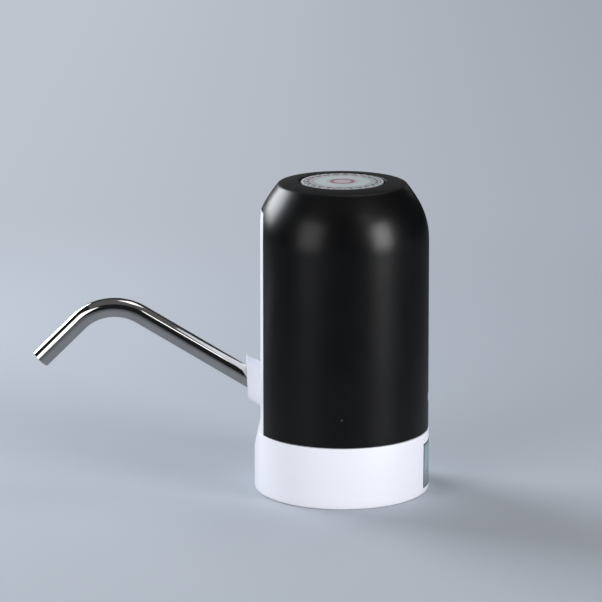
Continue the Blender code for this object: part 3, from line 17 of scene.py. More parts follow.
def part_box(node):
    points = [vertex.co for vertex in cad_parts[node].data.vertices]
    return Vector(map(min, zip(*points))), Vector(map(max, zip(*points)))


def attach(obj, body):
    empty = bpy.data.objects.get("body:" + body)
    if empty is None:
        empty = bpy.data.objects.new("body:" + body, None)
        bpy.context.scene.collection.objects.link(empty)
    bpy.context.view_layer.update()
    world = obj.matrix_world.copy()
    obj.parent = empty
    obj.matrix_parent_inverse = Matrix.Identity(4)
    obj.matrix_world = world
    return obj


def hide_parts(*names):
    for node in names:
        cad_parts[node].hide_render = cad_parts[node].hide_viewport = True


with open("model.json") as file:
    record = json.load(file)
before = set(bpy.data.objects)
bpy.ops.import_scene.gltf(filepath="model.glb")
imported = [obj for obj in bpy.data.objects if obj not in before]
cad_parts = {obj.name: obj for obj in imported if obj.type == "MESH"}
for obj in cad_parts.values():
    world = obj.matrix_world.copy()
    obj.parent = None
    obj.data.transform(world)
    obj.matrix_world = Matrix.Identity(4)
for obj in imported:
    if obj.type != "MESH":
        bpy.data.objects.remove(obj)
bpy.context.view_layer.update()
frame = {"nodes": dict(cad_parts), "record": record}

# %% [markdown]
# ## The sizes that every piece shares
# A designer reads sizes off the drawing, so the main ones are read off the solids here:
# the base, the shell and the crown say where their own edges are. The rest, such as the
# depth of the front panel, no box can give, so they are written once with their names.

# %% Sizes
MM = 0.001
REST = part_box("base_body")[0].z
BASE_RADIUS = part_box("base_body")[1].x
SHELL_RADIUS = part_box("outer_shell")[1].x
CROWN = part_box("outer_shell")[1].z
GAP = 0.3 * MM
RIM = 5.5 * MM
SHELL_FOOT = RIM + GAP
SHELL_WALL = 1.8 * MM
CREASE = CROWN - 0.9 * MM
CREASE_RADIUS = 26.5 * MM
SHOULDER = CREASE - 24.4 * MM
SHOULDER_RADIUS = SHELL_RADIUS - 0.33 * MM
LIP = CREASE - 10.9 * MM
PANEL_DEPTH = SHELL_RADIUS - 2.65 * MM
PANEL_BACK = PANEL_DEPTH - 2.3 * MM
SHELL_CUT = PANEL_DEPTH - 1.3 * MM
HOLE_RADIUS = 18.0 * MM
FLARE_TOP = RIM + 2.5 * MM
FLARE_FOOT = RIM - 8.7 * MM
SPOUT_ORIGIN = Vector((-PANEL_DEPTH, 0, RIM + 17.64 * MM))
SPOUT_RISE = math.radians(31.0)
print("base across", round(BASE_RADIUS * 2 / MM, 2), "mm")
print("body tall", round((CROWN - REST) / MM, 2), "mm")

# %% [markdown]
# ## Camera
# The picture is taken from a little over a metre away through a long lens, which keeps
# the upright edges nearly parallel. The camera looks down by about 13 degrees, so the
# foil on top shows as a flat oval. Place and lens come from matching the base's rim, the
# shell's edges and the spout's tip with the photograph.

# %% Camera
camera_data = bpy.data.cameras.new("studio_camera")
camera_data.sensor_width = 36.0
camera_data.lens = 195.32
camera_data.clip_start = 0.1
camera_data.clip_end = 50.0
camera = bpy.data.objects.new("studio_camera", camera_data)
camera.location = (0, -1.32128, 0.369476)
camera.rotation_euler = (math.radians(90 - 13.219), 0, math.radians(0.739))
bpy.context.scene.collection.objects.link(camera)
bpy.context.scene.camera = camera
print("lens", round(camera_data.lens, 2), "mm")

# %% [markdown]
# ## Turning an outline into a round piece
# Most of the pump is turned: a half outline swept once round the upright axis. The
# corners of the outline are rounded first, while they are only points, because a round
# on a point costs nothing and sweeps into an even edge. A Spin closes on itself, and the
# points on the axis are merged so that no pole stays open.

# %% Turned shapes
ROUND_STEPS = 160
FINE_STEPS = 240
WELD = 0.001 * MM
DOME_SLOPE = math.radians(52.6)
SHOULDER_PULL = 10.4 * MM
CREASE_PULL = 10.2 * MM


def outline(corners):
    """A bmesh wire through (radius, height) corners; a third value rounds that corner."""
    shape = bmesh.new()
    points = [shape.verts.new((corner[0], 0, corner[1])) for corner in corners]
    for start, end in zip(points, points[1:]):
        shape.edges.new((start, end))
    for point, corner in zip(points, corners):
        if len(corner) == 3:
            bmesh.ops.bevel(
                shape, geom=[point], offset=corner[2], offset_type="OFFSET",
                segments=4, profile=0.5, affect="VERTICES", material=-1,
            )
    return shape


def turn(shape, steps=ROUND_STEPS):
    """Sweeps a wire once round Z and closes its seam and poles."""
    bmesh.ops.spin(
        shape, geom=shape.verts[:] + shape.edges[:], cent=(0, 0, 0), axis=(0, 0, 1),
        angle=math.tau, steps=steps, use_merge=True,
    )
    bmesh.ops.remove_doubles(shape, verts=shape.verts, dist=WELD)
    bmesh.ops.recalc_face_normals(shape, faces=shape.faces)
    return shape


def dome_curve(steps=22):
    """The shell's outline from its shoulder up to the crease, a cubic curve."""
    shoulder = Vector((SHOULDER_RADIUS, 0, SHOULDER))
    crease = Vector((CREASE_RADIUS, 0, CREASE))
    down_the_dome = Vector((math.cos(DOME_SLOPE), 0, -math.sin(DOME_SLOPE)))
    lower_handle = shoulder + Vector((0, 0, SHOULDER_PULL))
    upper_handle = crease + down_the_dome * CREASE_PULL
    curve = interpolate_bezier(shoulder, lower_handle, upper_handle, crease, steps)
    return [(point.x, point.z) for point in curve]


print("dome points", len(dome_curve()))

# %% [markdown]
# ## Making a mesh into a piece of the pump
# A finished piece is an object at the origin that rides on one body of the model, so
# that it moves when a joint does. A Bevel on its sharp edges gives the small rounds
# that moulded plastic and cut metal have, because a dead sharp edge catches no light.

# %% Pieces
SOFT = math.radians(32)


def piece(name, shape, body, stands_for=(), wall=0, edge=0, segments=3):
    """Turns a bmesh into a shaded object that rides on a body."""
    mesh = bpy.data.meshes.new(name)
    shape.to_mesh(mesh)
    shape.free()
    mesh.shade_smooth()
    mesh.set_sharp_from_angle(angle=SOFT)
    obj = bpy.data.objects.new(name, mesh)
    bpy.context.scene.collection.objects.link(obj)
    if wall:
        thicken = obj.modifiers.new("wall", "SOLIDIFY")
        thicken.thickness = wall
        thicken.offset = -1
        thicken.use_even_offset = True
    if edge:
        soften = obj.modifiers.new("soft edges", "BEVEL")
        soften.width = edge
        soften.segments = segments
        soften.limit_method = "ANGLE"
        soften.angle_limit = SOFT
        soften.harden_normals = True
    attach(obj, body)
    if stands_for:
        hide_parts(*stands_for)
    print(name, "faces", len(mesh.polygons))
    return obj


def slice_at(shape, place, normal):
    """Cuts every face along a plane and keeps both sides."""
    bmesh.ops.bisect_plane(
        shape, geom=shape.verts[:] + shape.edges[:] + shape.faces[:],
        dist=WELD, plane_co=place, plane_no=normal,
    )


def remove_where(shape, test):
    """Deletes the faces whose middle passes a test."""
    gone = [face for face in shape.faces if test(face.calc_center_median())]
    bmesh.ops.delete(shape, geom=gone, context="FACES")


def on_plane(vert, place, normal):
    """Says whether a vertex lies in a cutting plane."""
    return abs((vert.co - place).dot(normal)) < WELD * 5


def join_across(shape, planes):
    """Draws the straight edges from side to side where two cutting planes meet."""
    corners = {}
    for vert in shape.verts:
        planes_met = sum(on_plane(vert, place, normal) for place, normal in planes)
        if vert.is_boundary and planes_met > 1:
            key = (round(vert.co.x, 6), round(vert.co.z, 6))
            corners.setdefault(key, []).append(vert)
    for pair in corners.values():
        if len(pair) == 2 and not shape.edges.get(pair):
            shape.edges.new(pair)


def close_flat(shape, place, normal):
    """Fills the opening that a cutting plane left."""
    rim = [
        edge for edge in shape.edges
        if len(edge.link_faces) < 2 and all(on_plane(vert, place, normal) for vert in edge.verts)
    ]
    bmesh.ops.edgenet_fill(shape, edges=rim)


print("an edge sharper than", round(math.degrees(SOFT)), "degrees is rounded")

# %% [markdown]
# ## Base
# The white base is one moulding: an outer wall, a ring inside it that takes the
# bottle's neck, ribs between them and a spigot that the shell slides over. Its half
# outline is turned as a closed wall, in finer steps than the small pieces because its
# edge fills the picture. A sloping plane then takes a slice off the front, where the
# real base flares out from the flat panel to its full round.

# %% Base
NECK_RADIUS = 28.2 * MM
RING_WALL = 1.6 * MM
NECK_RING = NECK_RADIUS + RING_WALL
NECK_RING_FOOT = REST + 1.0 * MM
BASE_INNER = BASE_RADIUS - 2.0 * MM
FLOOR = 2.2 * MM
SPIGOT = SHELL_RADIUS - SHELL_WALL - GAP
SPIGOT_INNER = SPIGOT - RING_WALL
flare_place = Vector((-PANEL_DEPTH, 0, FLARE_TOP))
flare_run = Vector((PANEL_DEPTH - BASE_RADIUS, 0, FLARE_FOOT - FLARE_TOP))
flare_normal = Vector((flare_run.z, 0, -flare_run.x)).normalized()

base = outline([
    (0, FLOOR),
    (SPIGOT_INNER, FLOOR),
    (SPIGOT_INNER, RIM),
    (BASE_RADIUS, RIM, 0.35 * MM),
    (BASE_RADIUS, REST, 0.9 * MM),
    (BASE_INNER, REST, 0.5 * MM),
    (BASE_INNER, 0, 0.6 * MM),
    (NECK_RING, 0, 0.6 * MM),
    (NECK_RING, NECK_RING_FOOT, 0.4 * MM),
    (NECK_RADIUS, NECK_RING_FOOT, 0.4 * MM),
    (NECK_RADIUS, 0, 0.4 * MM),
    (0, 0),
])
turn(base, FINE_STEPS)
slice_at(base, flare_place, flare_normal)
remove_where(base, lambda middle: (middle - flare_place).dot(flare_normal) > 0)
close_flat(base, flare_place, flare_normal)
print("turned base faces", len(base.faces))

# %% [markdown]
# ## Spigot
# The spigot is a second turned wall, which stands on the base inside the shell and holds
# it straight. Its front is cut off flat behind the panel. It is built in a bmesh of its
# own, so that the cut can't touch the base, and then its mesh is added to the base's.

# %% Spigot
UP = Vector((0, 0, 1))
FRONT = Vector((-1, 0, 0))
SPIGOT_FOOT = RIM - 0.5 * MM
SPIGOT_TOP = RIM + 3.0 * MM
SPIGOT_END = SHELL_CUT - 0.4 * MM
spigot = turn(outline([
    (SPIGOT_INNER, SPIGOT_FOOT),
    (SPIGOT_INNER, SPIGOT_TOP),
    (SPIGOT, SPIGOT_TOP, 0.3 * MM),
    (SPIGOT, SPIGOT_FOOT),
    (SPIGOT_INNER, SPIGOT_FOOT),
]))
spigot_end_place = Vector((-SPIGOT_END, 0, 0))
slice_at(spigot, spigot_end_place, FRONT)
remove_where(spigot, lambda middle: middle.x < -SPIGOT_END)
close_flat(spigot, spigot_end_place, FRONT)
spare_mesh = bpy.data.meshes.new("spigot")
spigot.to_mesh(spare_mesh)
spigot.free()
base.from_mesh(spare_mesh)
bpy.data.meshes.remove(spare_mesh)
print("base and spigot faces", len(base.faces))

# %% [markdown]
# ## Ribs and grips
# Under the base, ribs tie the ring of the neck to the outer wall, and slim upright rounds
# inside the ring grip the bottle. Each starts at the axis as a block or a rod, moves out
# to its distance and is turned to its place. The ends run into the walls, as moulded
# ribs do, and the base is then one finished piece.

# %% Ribs and grips
RIBS = 12
RIB_WIDTH = 1.4 * MM
RIB_OVERLAP = 0.5 * MM
RIB_FOOT = REST + 2.5 * MM
RIB_HEAD = 1.0 * MM
GRIPS = 6
GRIP_RADIUS = 0.8 * MM
GRIP_LENGTH = 18.5 * MM
rib_size = (BASE_INNER - NECK_RING + RIB_OVERLAP * 2, RIB_WIDTH, RIB_HEAD - RIB_FOOT)
rib_place = ((BASE_INNER + NECK_RING) / 2, 0, (RIB_FOOT + RIB_HEAD) / 2)
for i in range(RIBS):
    rib = bmesh.ops.create_cube(base, size=1)["verts"]
    bmesh.ops.scale(base, vec=rib_size, verts=rib)
    bmesh.ops.translate(base, vec=rib_place, verts=rib)
    rib_turn = Matrix.Rotation(math.tau * i / RIBS, 3, "Z")
    bmesh.ops.rotate(base, cent=(0, 0, 0), matrix=rib_turn, verts=rib)
for i in range(GRIPS):
    grip = bmesh.ops.create_cone(
        base, cap_ends=True, segments=16,
        radius1=GRIP_RADIUS, radius2=GRIP_RADIUS, depth=GRIP_LENGTH,
    )["verts"]
    grip_place = (NECK_RADIUS + GRIP_RADIUS / 2, 0, -GRIP_LENGTH / 2)
    bmesh.ops.translate(base, vec=grip_place, verts=grip)
    grip_turn = Matrix.Rotation(math.tau * (i + 0.5) / GRIPS, 3, "Z")
    bmesh.ops.rotate(base, cent=(0, 0, 0), matrix=grip_turn, verts=grip)
bmesh.ops.recalc_face_normals(base, faces=base.faces)
white_base = piece("white_base", base, "housing", ["base_body"], edge=0.15 * MM)

# %% [markdown]
# ## Front panel
# The flat white strip rises from the base through the front of the shell. Its borders
# are flush with the shell's round, so it is cut from the same turned outline: one slice
# makes the flat face, one the back, one the slope at the foot and one the top under the
# shell's lip. The arch at its top comes by itself, where the dome falls behind the face.
# Its back is inset and pushed in, so that only a thin rim shows between the shell's edges.

# %% Front panel
PANEL_FOOT = RIM - 0.4 * MM
PANEL_TUCK = Vector((0.1 * MM, 0, 0))
PANEL_RIM_BACK = SHELL_CUT + 0.1 * MM
slope_run = flare_run + PANEL_TUCK
slope_normal = Vector((slope_run.z, 0, -slope_run.x)).normalized()
panel = turn(outline([(SHELL_RADIUS, PANEL_FOOT), *dome_curve(40)]), FINE_STEPS * 2)
panel_planes = [
    (Vector((-PANEL_DEPTH, 0, 0)), FRONT),
    (flare_place, slope_normal),
    (Vector((-PANEL_RIM_BACK, 0, 0)), FRONT),
    (Vector((0, 0, LIP - GAP)), UP),
    (Vector((0, 0, PANEL_FOOT)), UP),
]
for place, normal in panel_planes[:4]:
    slice_at(panel, place, normal)
slice_at(panel, flare_place, UP)
remove_where(panel, lambda middle: middle.x > -PANEL_RIM_BACK or middle.z > LIP - GAP)
remove_where(panel, lambda middle: middle.z > FLARE_TOP and middle.x < -PANEL_DEPTH)
remove_where(panel, lambda middle: (
    middle.z < FLARE_TOP and (middle - flare_place).dot(slope_normal) > 0
))
join_across(panel, [*panel_planes, (flare_place, UP)])
for place, normal in panel_planes:
    close_flat(panel, place, normal)
bmesh.ops.recalc_face_normals(panel, faces=panel.faces)
panel.faces.ensure_lookup_table()
inner_face = max(panel.faces, key=lambda face: face.calc_area() * face.normal.x)
bmesh.ops.inset_region(panel, faces=[inner_face], thickness=SHELL_WALL + GAP)
raised = bmesh.ops.extrude_face_region(panel, geom=[inner_face])["geom"]
raised = [item for item in raised if isinstance(item, bmesh.types.BMVert)]
bmesh.ops.translate(panel, vec=(PANEL_RIM_BACK - PANEL_BACK, 0, 0), verts=raised)
white_panel = piece("front_panel", panel, "housing", edge=0.2 * MM)

# %% [markdown]
# ## Shell
# The black shell is a thin cover. Only its outer skin is turned, from the foot over the
# dome and the crown down into the button's well. The front opening is taken out of the
# skin, and a Solidify then gives the wall, which turns its cut edges into real rims. An
# open skin can come out of its new normals inside out, and the wall would then grow
# outwards, so its outermost face is asked which way it looks.

# %% Shell
WELL_FOOT = CROWN - 8.2 * MM
shell = outline([
    (SHELL_RADIUS, SHELL_FOOT),
    *dome_curve()[:-1],
    (CREASE_RADIUS, CREASE, 0.7 * MM),
    (HOLE_RADIUS, CROWN, 0.45 * MM),
    (HOLE_RADIUS, WELL_FOOT),
])
turn(shell, FINE_STEPS)
cut_place = Vector((-SHELL_CUT, 0, 0))
slice_at(shell, cut_place, FRONT)
slice_at(shell, Vector((0, 0, LIP)), UP)
remove_where(shell, lambda middle: middle.x < -SHELL_CUT and middle.z < LIP)

PORT_MIDDLE = RIM + 13.0 * MM
PORT_HALF_WIDTH = 4.7 * MM
PORT_HALF_HEIGHT = 2.25 * MM
for side in (-1, 1):
    slice_at(shell, Vector((0, side * PORT_HALF_WIDTH, 0)), Vector((0, 1, 0)))
    slice_at(shell, Vector((0, 0, PORT_MIDDLE + side * PORT_HALF_HEIGHT)), UP)
remove_where(shell, lambda middle: (
    middle.x > SHELL_CUT
    and abs(middle.y) < PORT_HALF_WIDTH
    and abs(middle.z - PORT_MIDDLE) < PORT_HALF_HEIGHT
))
bmesh.ops.recalc_face_normals(shell, faces=shell.faces)
outermost = max(shell.faces, key=lambda face: face.calc_center_median().x)
if outermost.normal.x < 0:
    bmesh.ops.reverse_faces(shell, faces=shell.faces)
black_shell = piece(
    "black_shell", shell, "housing", ["outer_shell"],
    wall=SHELL_WALL, edge=0.2 * MM, segments=2,
)

# %% [markdown]
# ## Collar
# The spout leaves the panel through a short slanted collar. It is turned about the
# spout's own axis, because all of its rounds are about that one: a bore that steps out
# for the soft sleeve, and a barbed nipple behind for the hose. At first it is far too
# long in front, which leaves enough for the slanted cut of the next step.

# %% Collar
SOCKET_RADIUS = 8.15 * MM
SOCKET_REACH = 5.7 * MM
SOCKET_LEAN = math.radians(2.6)
TUBE_RADIUS = 4.0 * MM
TUBE_INSERT = 8.0 * MM
BORE_RADIUS = TUBE_RADIUS + GAP
SLEEVE_RADIUS = BORE_RADIUS + 1.3 * MM
SLEEVE_SET_BACK = 1.5 * MM
BARB_OUT = 2.6 * MM
BARB_IN = 2.0 * MM
HOSE_BORE = 1.4 * MM
NIPPLE_LENGTH = 7.0 * MM
SOCKET_BACK = 1.5 * MM
FAR = 20 * MM
socket_root = -(TUBE_INSERT + SOCKET_BACK + GAP)
nipple_end = socket_root - NIPPLE_LENGTH
groove_foot = socket_root + SOCKET_BACK
flush_end = (SOCKET_REACH - SLEEVE_RADIUS * math.sin(SPOUT_RISE)) / math.cos(SPOUT_RISE)
sleeve_end = flush_end - SLEEVE_SET_BACK
spout_turn = Matrix.Rotation(-(math.pi / 2 - SPOUT_RISE), 4, "Y")
spout_frame = Matrix.Translation(SPOUT_ORIGIN) @ spout_turn

collar = turn(outline([
    (SOCKET_RADIUS, FAR),
    (SOCKET_RADIUS, socket_root, 0.4 * MM),
    (BARB_OUT, socket_root),
    (BARB_IN, socket_root - NIPPLE_LENGTH / 2),
    (BARB_OUT, socket_root - NIPPLE_LENGTH / 2, 0.15 * MM),
    (BARB_IN, nipple_end, 0.15 * MM),
    (HOSE_BORE, nipple_end),
    (HOSE_BORE, groove_foot),
    (SLEEVE_RADIUS + GAP, groove_foot),
    (SLEEVE_RADIUS + GAP, sleeve_end + GAP),
    (BORE_RADIUS, sleeve_end + GAP),
    (BORE_RADIUS, FAR),
]), 96)
bmesh.ops.transform(collar, matrix=spout_frame, verts=collar.verts)
print("collar rises", round(math.degrees(SPOUT_RISE)), "degrees")

# %% [markdown]
# ## The collar's face
# The front end is cut nearly upright, so the face looks straight ahead while the sides
# slant. One slice takes the end off, a bridge between the rims of the bore and of the
# outside makes the face, and both rims get their own round. A plate behind the panel
# keeps the collar from being pulled out.

# %% Face and plate
COLLAR_PLATE = (1.8 * MM, 22 * MM, 25 * MM)
face_place = SPOUT_ORIGIN + Vector((-SOCKET_REACH, 0, SOCKET_REACH * math.tan(SPOUT_RISE)))
face_normal = Vector((-math.cos(SOCKET_LEAN), 0, -math.sin(SOCKET_LEAN)))
slice_at(collar, face_place, face_normal)
remove_where(collar, lambda middle: (middle - face_place).dot(face_normal) > 0)
made = bmesh.ops.bridge_loops(collar, edges=[edge for edge in collar.edges if edge.is_boundary])
bmesh.ops.recalc_face_normals(collar, faces=collar.faces)
front_faces = set(made["faces"])
rims = {True: [], False: []}
for edge in collar.edges:
    if len(front_faces & set(edge.link_faces)) == 1:
        local = spout_frame.inverted() @ ((edge.verts[0].co + edge.verts[1].co) / 2)
        rims[local.xy.length > SLEEVE_RADIUS].append(edge)
for is_outer, rim_round in ((True, 0.6 * MM), (False, 0.2 * MM)):
    bmesh.ops.bevel(
        collar, geom=rims[is_outer], offset=rim_round, offset_type="OFFSET",
        segments=4, profile=0.5, affect="EDGES", material=-1,
    )
plate = bmesh.ops.create_cube(collar, size=1)["verts"]
bmesh.ops.scale(collar, vec=COLLAR_PLATE, verts=plate)
plate_place = Vector((-PANEL_BACK + GAP + COLLAR_PLATE[0] / 2, 0, SPOUT_ORIGIN.z))
bmesh.ops.translate(collar, vec=plate_place, verts=plate)
white_collar = piece(
    "spout_collar", collar, "housing", ["spout_socket"],
)

# %% [markdown]
# ## Sleeve
# A soft sleeve seals the tube in the collar and lets it turn. It is a plain thick ring
# of silicone in the collar's groove, turned on the same slanted axis, with its rims
# rounded so that the tube slides in.

# %% Sleeve
sleeve = turn(outline([
    (BORE_RADIUS, -TUBE_INSERT),
    (SLEEVE_RADIUS, -TUBE_INSERT, 0.3 * MM),
    (SLEEVE_RADIUS, sleeve_end, 0.3 * MM),
    (BORE_RADIUS, sleeve_end, 0.2 * MM),
    (BORE_RADIUS, -TUBE_INSERT),
]), 72)
bmesh.ops.transform(sleeve, matrix=spout_frame, verts=sleeve.verts)
soft_sleeve = piece("soft_sleeve", sleeve, "sleeve", ["spout_sleeve"])

# %% [markdown]
# ## Spout
# The spout is one length of steel tube, bent cold round a former. It is made the same
# way: a circle pushed out along the straight leg, spun through the bend about the
# former's centre, and pushed out again to the tip. Solidify gives the thin wall.

# %% Spout
SPOUT_LEG = 58.1 * MM
SPOUT_END = 22.5 * MM
TUBE_WALL = 0.5 * MM
BEND_RADIUS = 21.6 * MM
BEND_TURN = math.radians(75.8)
leg_way = Vector((-math.cos(SPOUT_RISE), 0, math.sin(SPOUT_RISE)))
end_rise = SPOUT_RISE - BEND_TURN
end_way = Vector((-math.cos(end_rise), 0, math.sin(end_rise)))
bend_start = SPOUT_ORIGIN + leg_way * SPOUT_LEG
bend_centre = bend_start + Vector((-math.sin(SPOUT_RISE), 0, -math.cos(SPOUT_RISE))) * BEND_RADIUS


def push_out(shape, rim, way):
    """Extrudes a ring of edges and returns the new ring."""
    made = bmesh.ops.extrude_edge_only(shape, edges=rim)["geom"]
    moved = [item for item in made if isinstance(item, bmesh.types.BMVert)]
    bmesh.ops.translate(shape, vec=way, verts=moved)
    return [item for item in made if isinstance(item, bmesh.types.BMEdge)
            and all(vert in moved for vert in item.verts)]


tube = bmesh.new()
bmesh.ops.create_circle(tube, cap_ends=False, radius=TUBE_RADIUS, segments=64)
bmesh.ops.transform(
    tube, matrix=spout_frame @ Matrix.Translation((0, 0, GAP - TUBE_INSERT)), verts=tube.verts,
)
ring = push_out(tube, tube.edges[:], leg_way * (TUBE_INSERT - GAP + SPOUT_LEG))
ring_verts = list({vert for edge in ring for vert in edge.verts})
swept = bmesh.ops.spin(
    tube, geom=ring_verts + ring, cent=bend_centre, axis=(0, -1, 0),
    angle=BEND_TURN, steps=40,
)["geom_last"]
ring = [item for item in swept if isinstance(item, bmesh.types.BMEdge)]
push_out(tube, ring, end_way * SPOUT_END)
bmesh.ops.recalc_face_normals(tube, faces=tube.faces)
steel_tube = piece(
    "steel_spout", tube, "spout", ["spout_tube"],
    wall=TUBE_WALL, edge=0.12 * MM, segments=2,
)

# %% [markdown]
# ## Button and foil
# The button is a shallow cap that sinks by a little over half a millimetre, and a ring
# round its foot stops it under the crown. Its top carries a thin metallic foil, stuck on
# a little smaller than the cap, so a dark ring shows round it. Both are turned outlines.

# %% Button and foil
BUTTON_RADIUS = HOLE_RADIUS - GAP
BUTTON_TOP = CROWN - 1.0 * MM
CAP_CEILING = BUTTON_TOP - 1.6 * MM
CAP_INNER = BUTTON_RADIUS - 1.3 * MM
STOP_RADIUS = BUTTON_RADIUS + 1.6 * MM
STOP_TOP = BUTTON_TOP - 6.2 * MM
STOP_FOOT = BUTTON_TOP - 7.2 * MM
cap = turn(outline([
    (0, BUTTON_TOP),
    (BUTTON_RADIUS, BUTTON_TOP, 0.5 * MM),
    (BUTTON_RADIUS, STOP_TOP),
    (STOP_RADIUS, STOP_TOP),
    (STOP_RADIUS, STOP_FOOT),
    (CAP_INNER, STOP_FOOT),
    (CAP_INNER, CAP_CEILING),
    (0, CAP_CEILING),
]))
black_button = piece("black_button", cap, "button", ["button_cap"])

FOIL_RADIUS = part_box("button_overlay")[1].x
FOIL_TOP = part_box("button_overlay")[1].z
FOIL_FOOT = FOIL_TOP - 0.5 * MM
foil = turn(outline([
    (0, FOIL_TOP),
    (FOIL_RADIUS, FOIL_TOP, 0.15 * MM),
    (FOIL_RADIUS, FOIL_FOOT),
    (0, FOIL_FOOT),
]))
button_foil = piece("button_foil", foil, "button", ["button_overlay"])

# %% [markdown]
# ## Gasket and suction fitting
# Under the base sit the soft gasket that the bottle's mouth presses on and the barbed
# fitting for the suction hose. Both are turned pieces, so each is one closed outline.
# The barbs are a saw-tooth line: each tooth is a slope and a sharp step back.

# %% Gasket and fitting
GASKET_WIDTH = 4.2 * MM
gasket_low, gasket_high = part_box("neck_gasket")
gasket_inner = gasket_high.x - GASKET_WIDTH
gasket = turn(outline([
    (gasket_inner, gasket_high.z),
    (gasket_high.x, gasket_high.z, 0.3 * MM),
    (gasket_high.x, gasket_low.z, 0.3 * MM),
    (gasket_inner, gasket_low.z, 0.3 * MM),
    (gasket_inner, gasket_high.z),
]))
neck_gasket = piece("soft_gasket", gasket, "housing", ["neck_gasket"])

inlet_low, inlet_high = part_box("inlet_fitting")
inlet_middle = (inlet_low + inlet_high) / 2
FLANGE_RADIUS = 6.0 * MM
FLANGE_FOOT = FLOOR + GAP
FLANGE_TOP = FLANGE_FOOT + 1.4 * MM
SHANK_RADIUS = 3.4 * MM
TEETH_UP = 2
TEETH_DOWN = 3
pitch_up = (inlet_high.z - FLANGE_TOP) / TEETH_UP
pitch_down = (-GAP - inlet_low.z) / TEETH_DOWN
barbs_up = []
barbs_down = []
for i in range(TEETH_UP):
    barbs_up.append((BARB_IN, inlet_high.z - pitch_up * i))
    barbs_up.append((BARB_OUT, inlet_high.z - pitch_up * (i + 1), 0.15 * MM))
for i in range(TEETH_DOWN):
    barbs_down.append((BARB_OUT, -GAP - pitch_down * i, 0.15 * MM))
    barbs_down.append((BARB_IN, -GAP - pitch_down * (i + 1)))
fitting = turn(outline([
    (HOSE_BORE, inlet_high.z),
    *barbs_up,
    (FLANGE_RADIUS, FLANGE_TOP, 0.3 * MM),
    (FLANGE_RADIUS, FLANGE_FOOT, 0.3 * MM),
    (SHANK_RADIUS, FLANGE_FOOT),
    (SHANK_RADIUS, -GAP, 0.2 * MM),
    *barbs_down,
    (HOSE_BORE, inlet_low.z),
    (HOSE_BORE, inlet_high.z),
]), 64)
bmesh.ops.translate(fitting, vec=(inlet_middle.x, inlet_middle.y, 0), verts=fitting.verts)
suction_fitting = piece("suction_fitting", fitting, "housing", ["inlet_fitting"])

# %% [markdown]
# ## Charging socket
# Behind, the charging socket looks out of its slot in the shell. It is a folded metal
# hood with rounded corners and a thin tongue inside. The hood starts as a block with its
# long edges bevelled, its mouth is inset for the metal's thickness and pushed back.

# %% Charging socket
HOOD_CORNER = 0.9 * MM
HOOD_METAL = 0.3 * MM
HOOD_DEPTH = 4.8 * MM
TONGUE_LENGTH = 4.4 * MM
TONGUE_THICK = 0.7 * MM
TONGUE_SHARE = 0.62
TONGUE_SET_BACK = 0.5 * MM
port_low, port_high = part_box("usb_socket")
port = bmesh.new()
bmesh.ops.create_cube(port, size=1)
bmesh.ops.scale(port, vec=port_high - port_low, verts=port.verts)
bmesh.ops.translate(port, vec=(port_low + port_high) / 2, verts=port.verts)
long_edges = [edge for edge in port.edges if abs(edge.verts[0].co.x - edge.verts[1].co.x) > MM]
bmesh.ops.bevel(
    port, geom=long_edges, offset=HOOD_CORNER, offset_type="OFFSET",
    segments=5, profile=0.5, affect="EDGES", material=-1,
)
mouth = max(port.faces, key=lambda face: face.calc_center_median().x)
bmesh.ops.inset_region(port, faces=[mouth], thickness=HOOD_METAL)
pushed = bmesh.ops.extrude_face_region(port, geom=[mouth])["geom"]
pushed = [item for item in pushed if isinstance(item, bmesh.types.BMVert)]
bmesh.ops.translate(port, vec=(-HOOD_DEPTH, 0, 0), verts=pushed)
bmesh.ops.recalc_face_normals(port, faces=port.faces)
tongue = bmesh.ops.create_cube(port, size=1)["verts"]
tongue_width = (port_high.y - port_low.y) * TONGUE_SHARE
bmesh.ops.scale(port, vec=(TONGUE_LENGTH, tongue_width, TONGUE_THICK), verts=tongue)
tongue_depth = port_high.x - TONGUE_SET_BACK - TONGUE_LENGTH / 2
tongue_place = Vector((tongue_depth, 0, (port_low.z + port_high.z) / 2))
bmesh.ops.translate(port, vec=tongue_place, verts=tongue)
charging_port = piece("charging_port", port, "housing", ["usb_socket"], edge=0.06 * MM)

# %% [markdown]
# ## Charging light
# A light for charging shows through a pinhole low on the shell. It is the end of a smoky
# light guide, a pin of a millimetre with a rounded nose, turned upright and then laid
# over to point out through the wall. Its nose stands just proud, so that it catches light.

# %% Charging light
GUIDE_RADIUS = 0.55 * MM
GUIDE_NOSE = SHELL_RADIUS + 0.02 * MM
GUIDE_TAIL = SHELL_RADIUS - SHELL_WALL - 1.0 * MM
GUIDE_HEIGHT = RIM + 12.1 * MM
guide = turn(outline([
    (0, GUIDE_NOSE),
    (GUIDE_RADIUS, GUIDE_NOSE, 0.25 * MM),
    (GUIDE_RADIUS, GUIDE_TAIL),
    (0, GUIDE_TAIL),
]), 24)
laid_over = Matrix.Rotation(math.radians(90), 3, "X")
bmesh.ops.rotate(guide, cent=(0, 0, 0), matrix=laid_over, verts=guide.verts)
bmesh.ops.translate(guide, vec=(0, 0, GUIDE_HEIGHT), verts=guide.verts)
light_guide = piece("light_guide", guide, "housing")

# %% [markdown]
# ## Blank label
# Low on the right of the base, products of this kind carry a printed sticker. Here it
# is a blank film with a plain border, bent round the base. One short upright edge is
# swept round the axis through the label's angle, and Solidify gives the film its body.

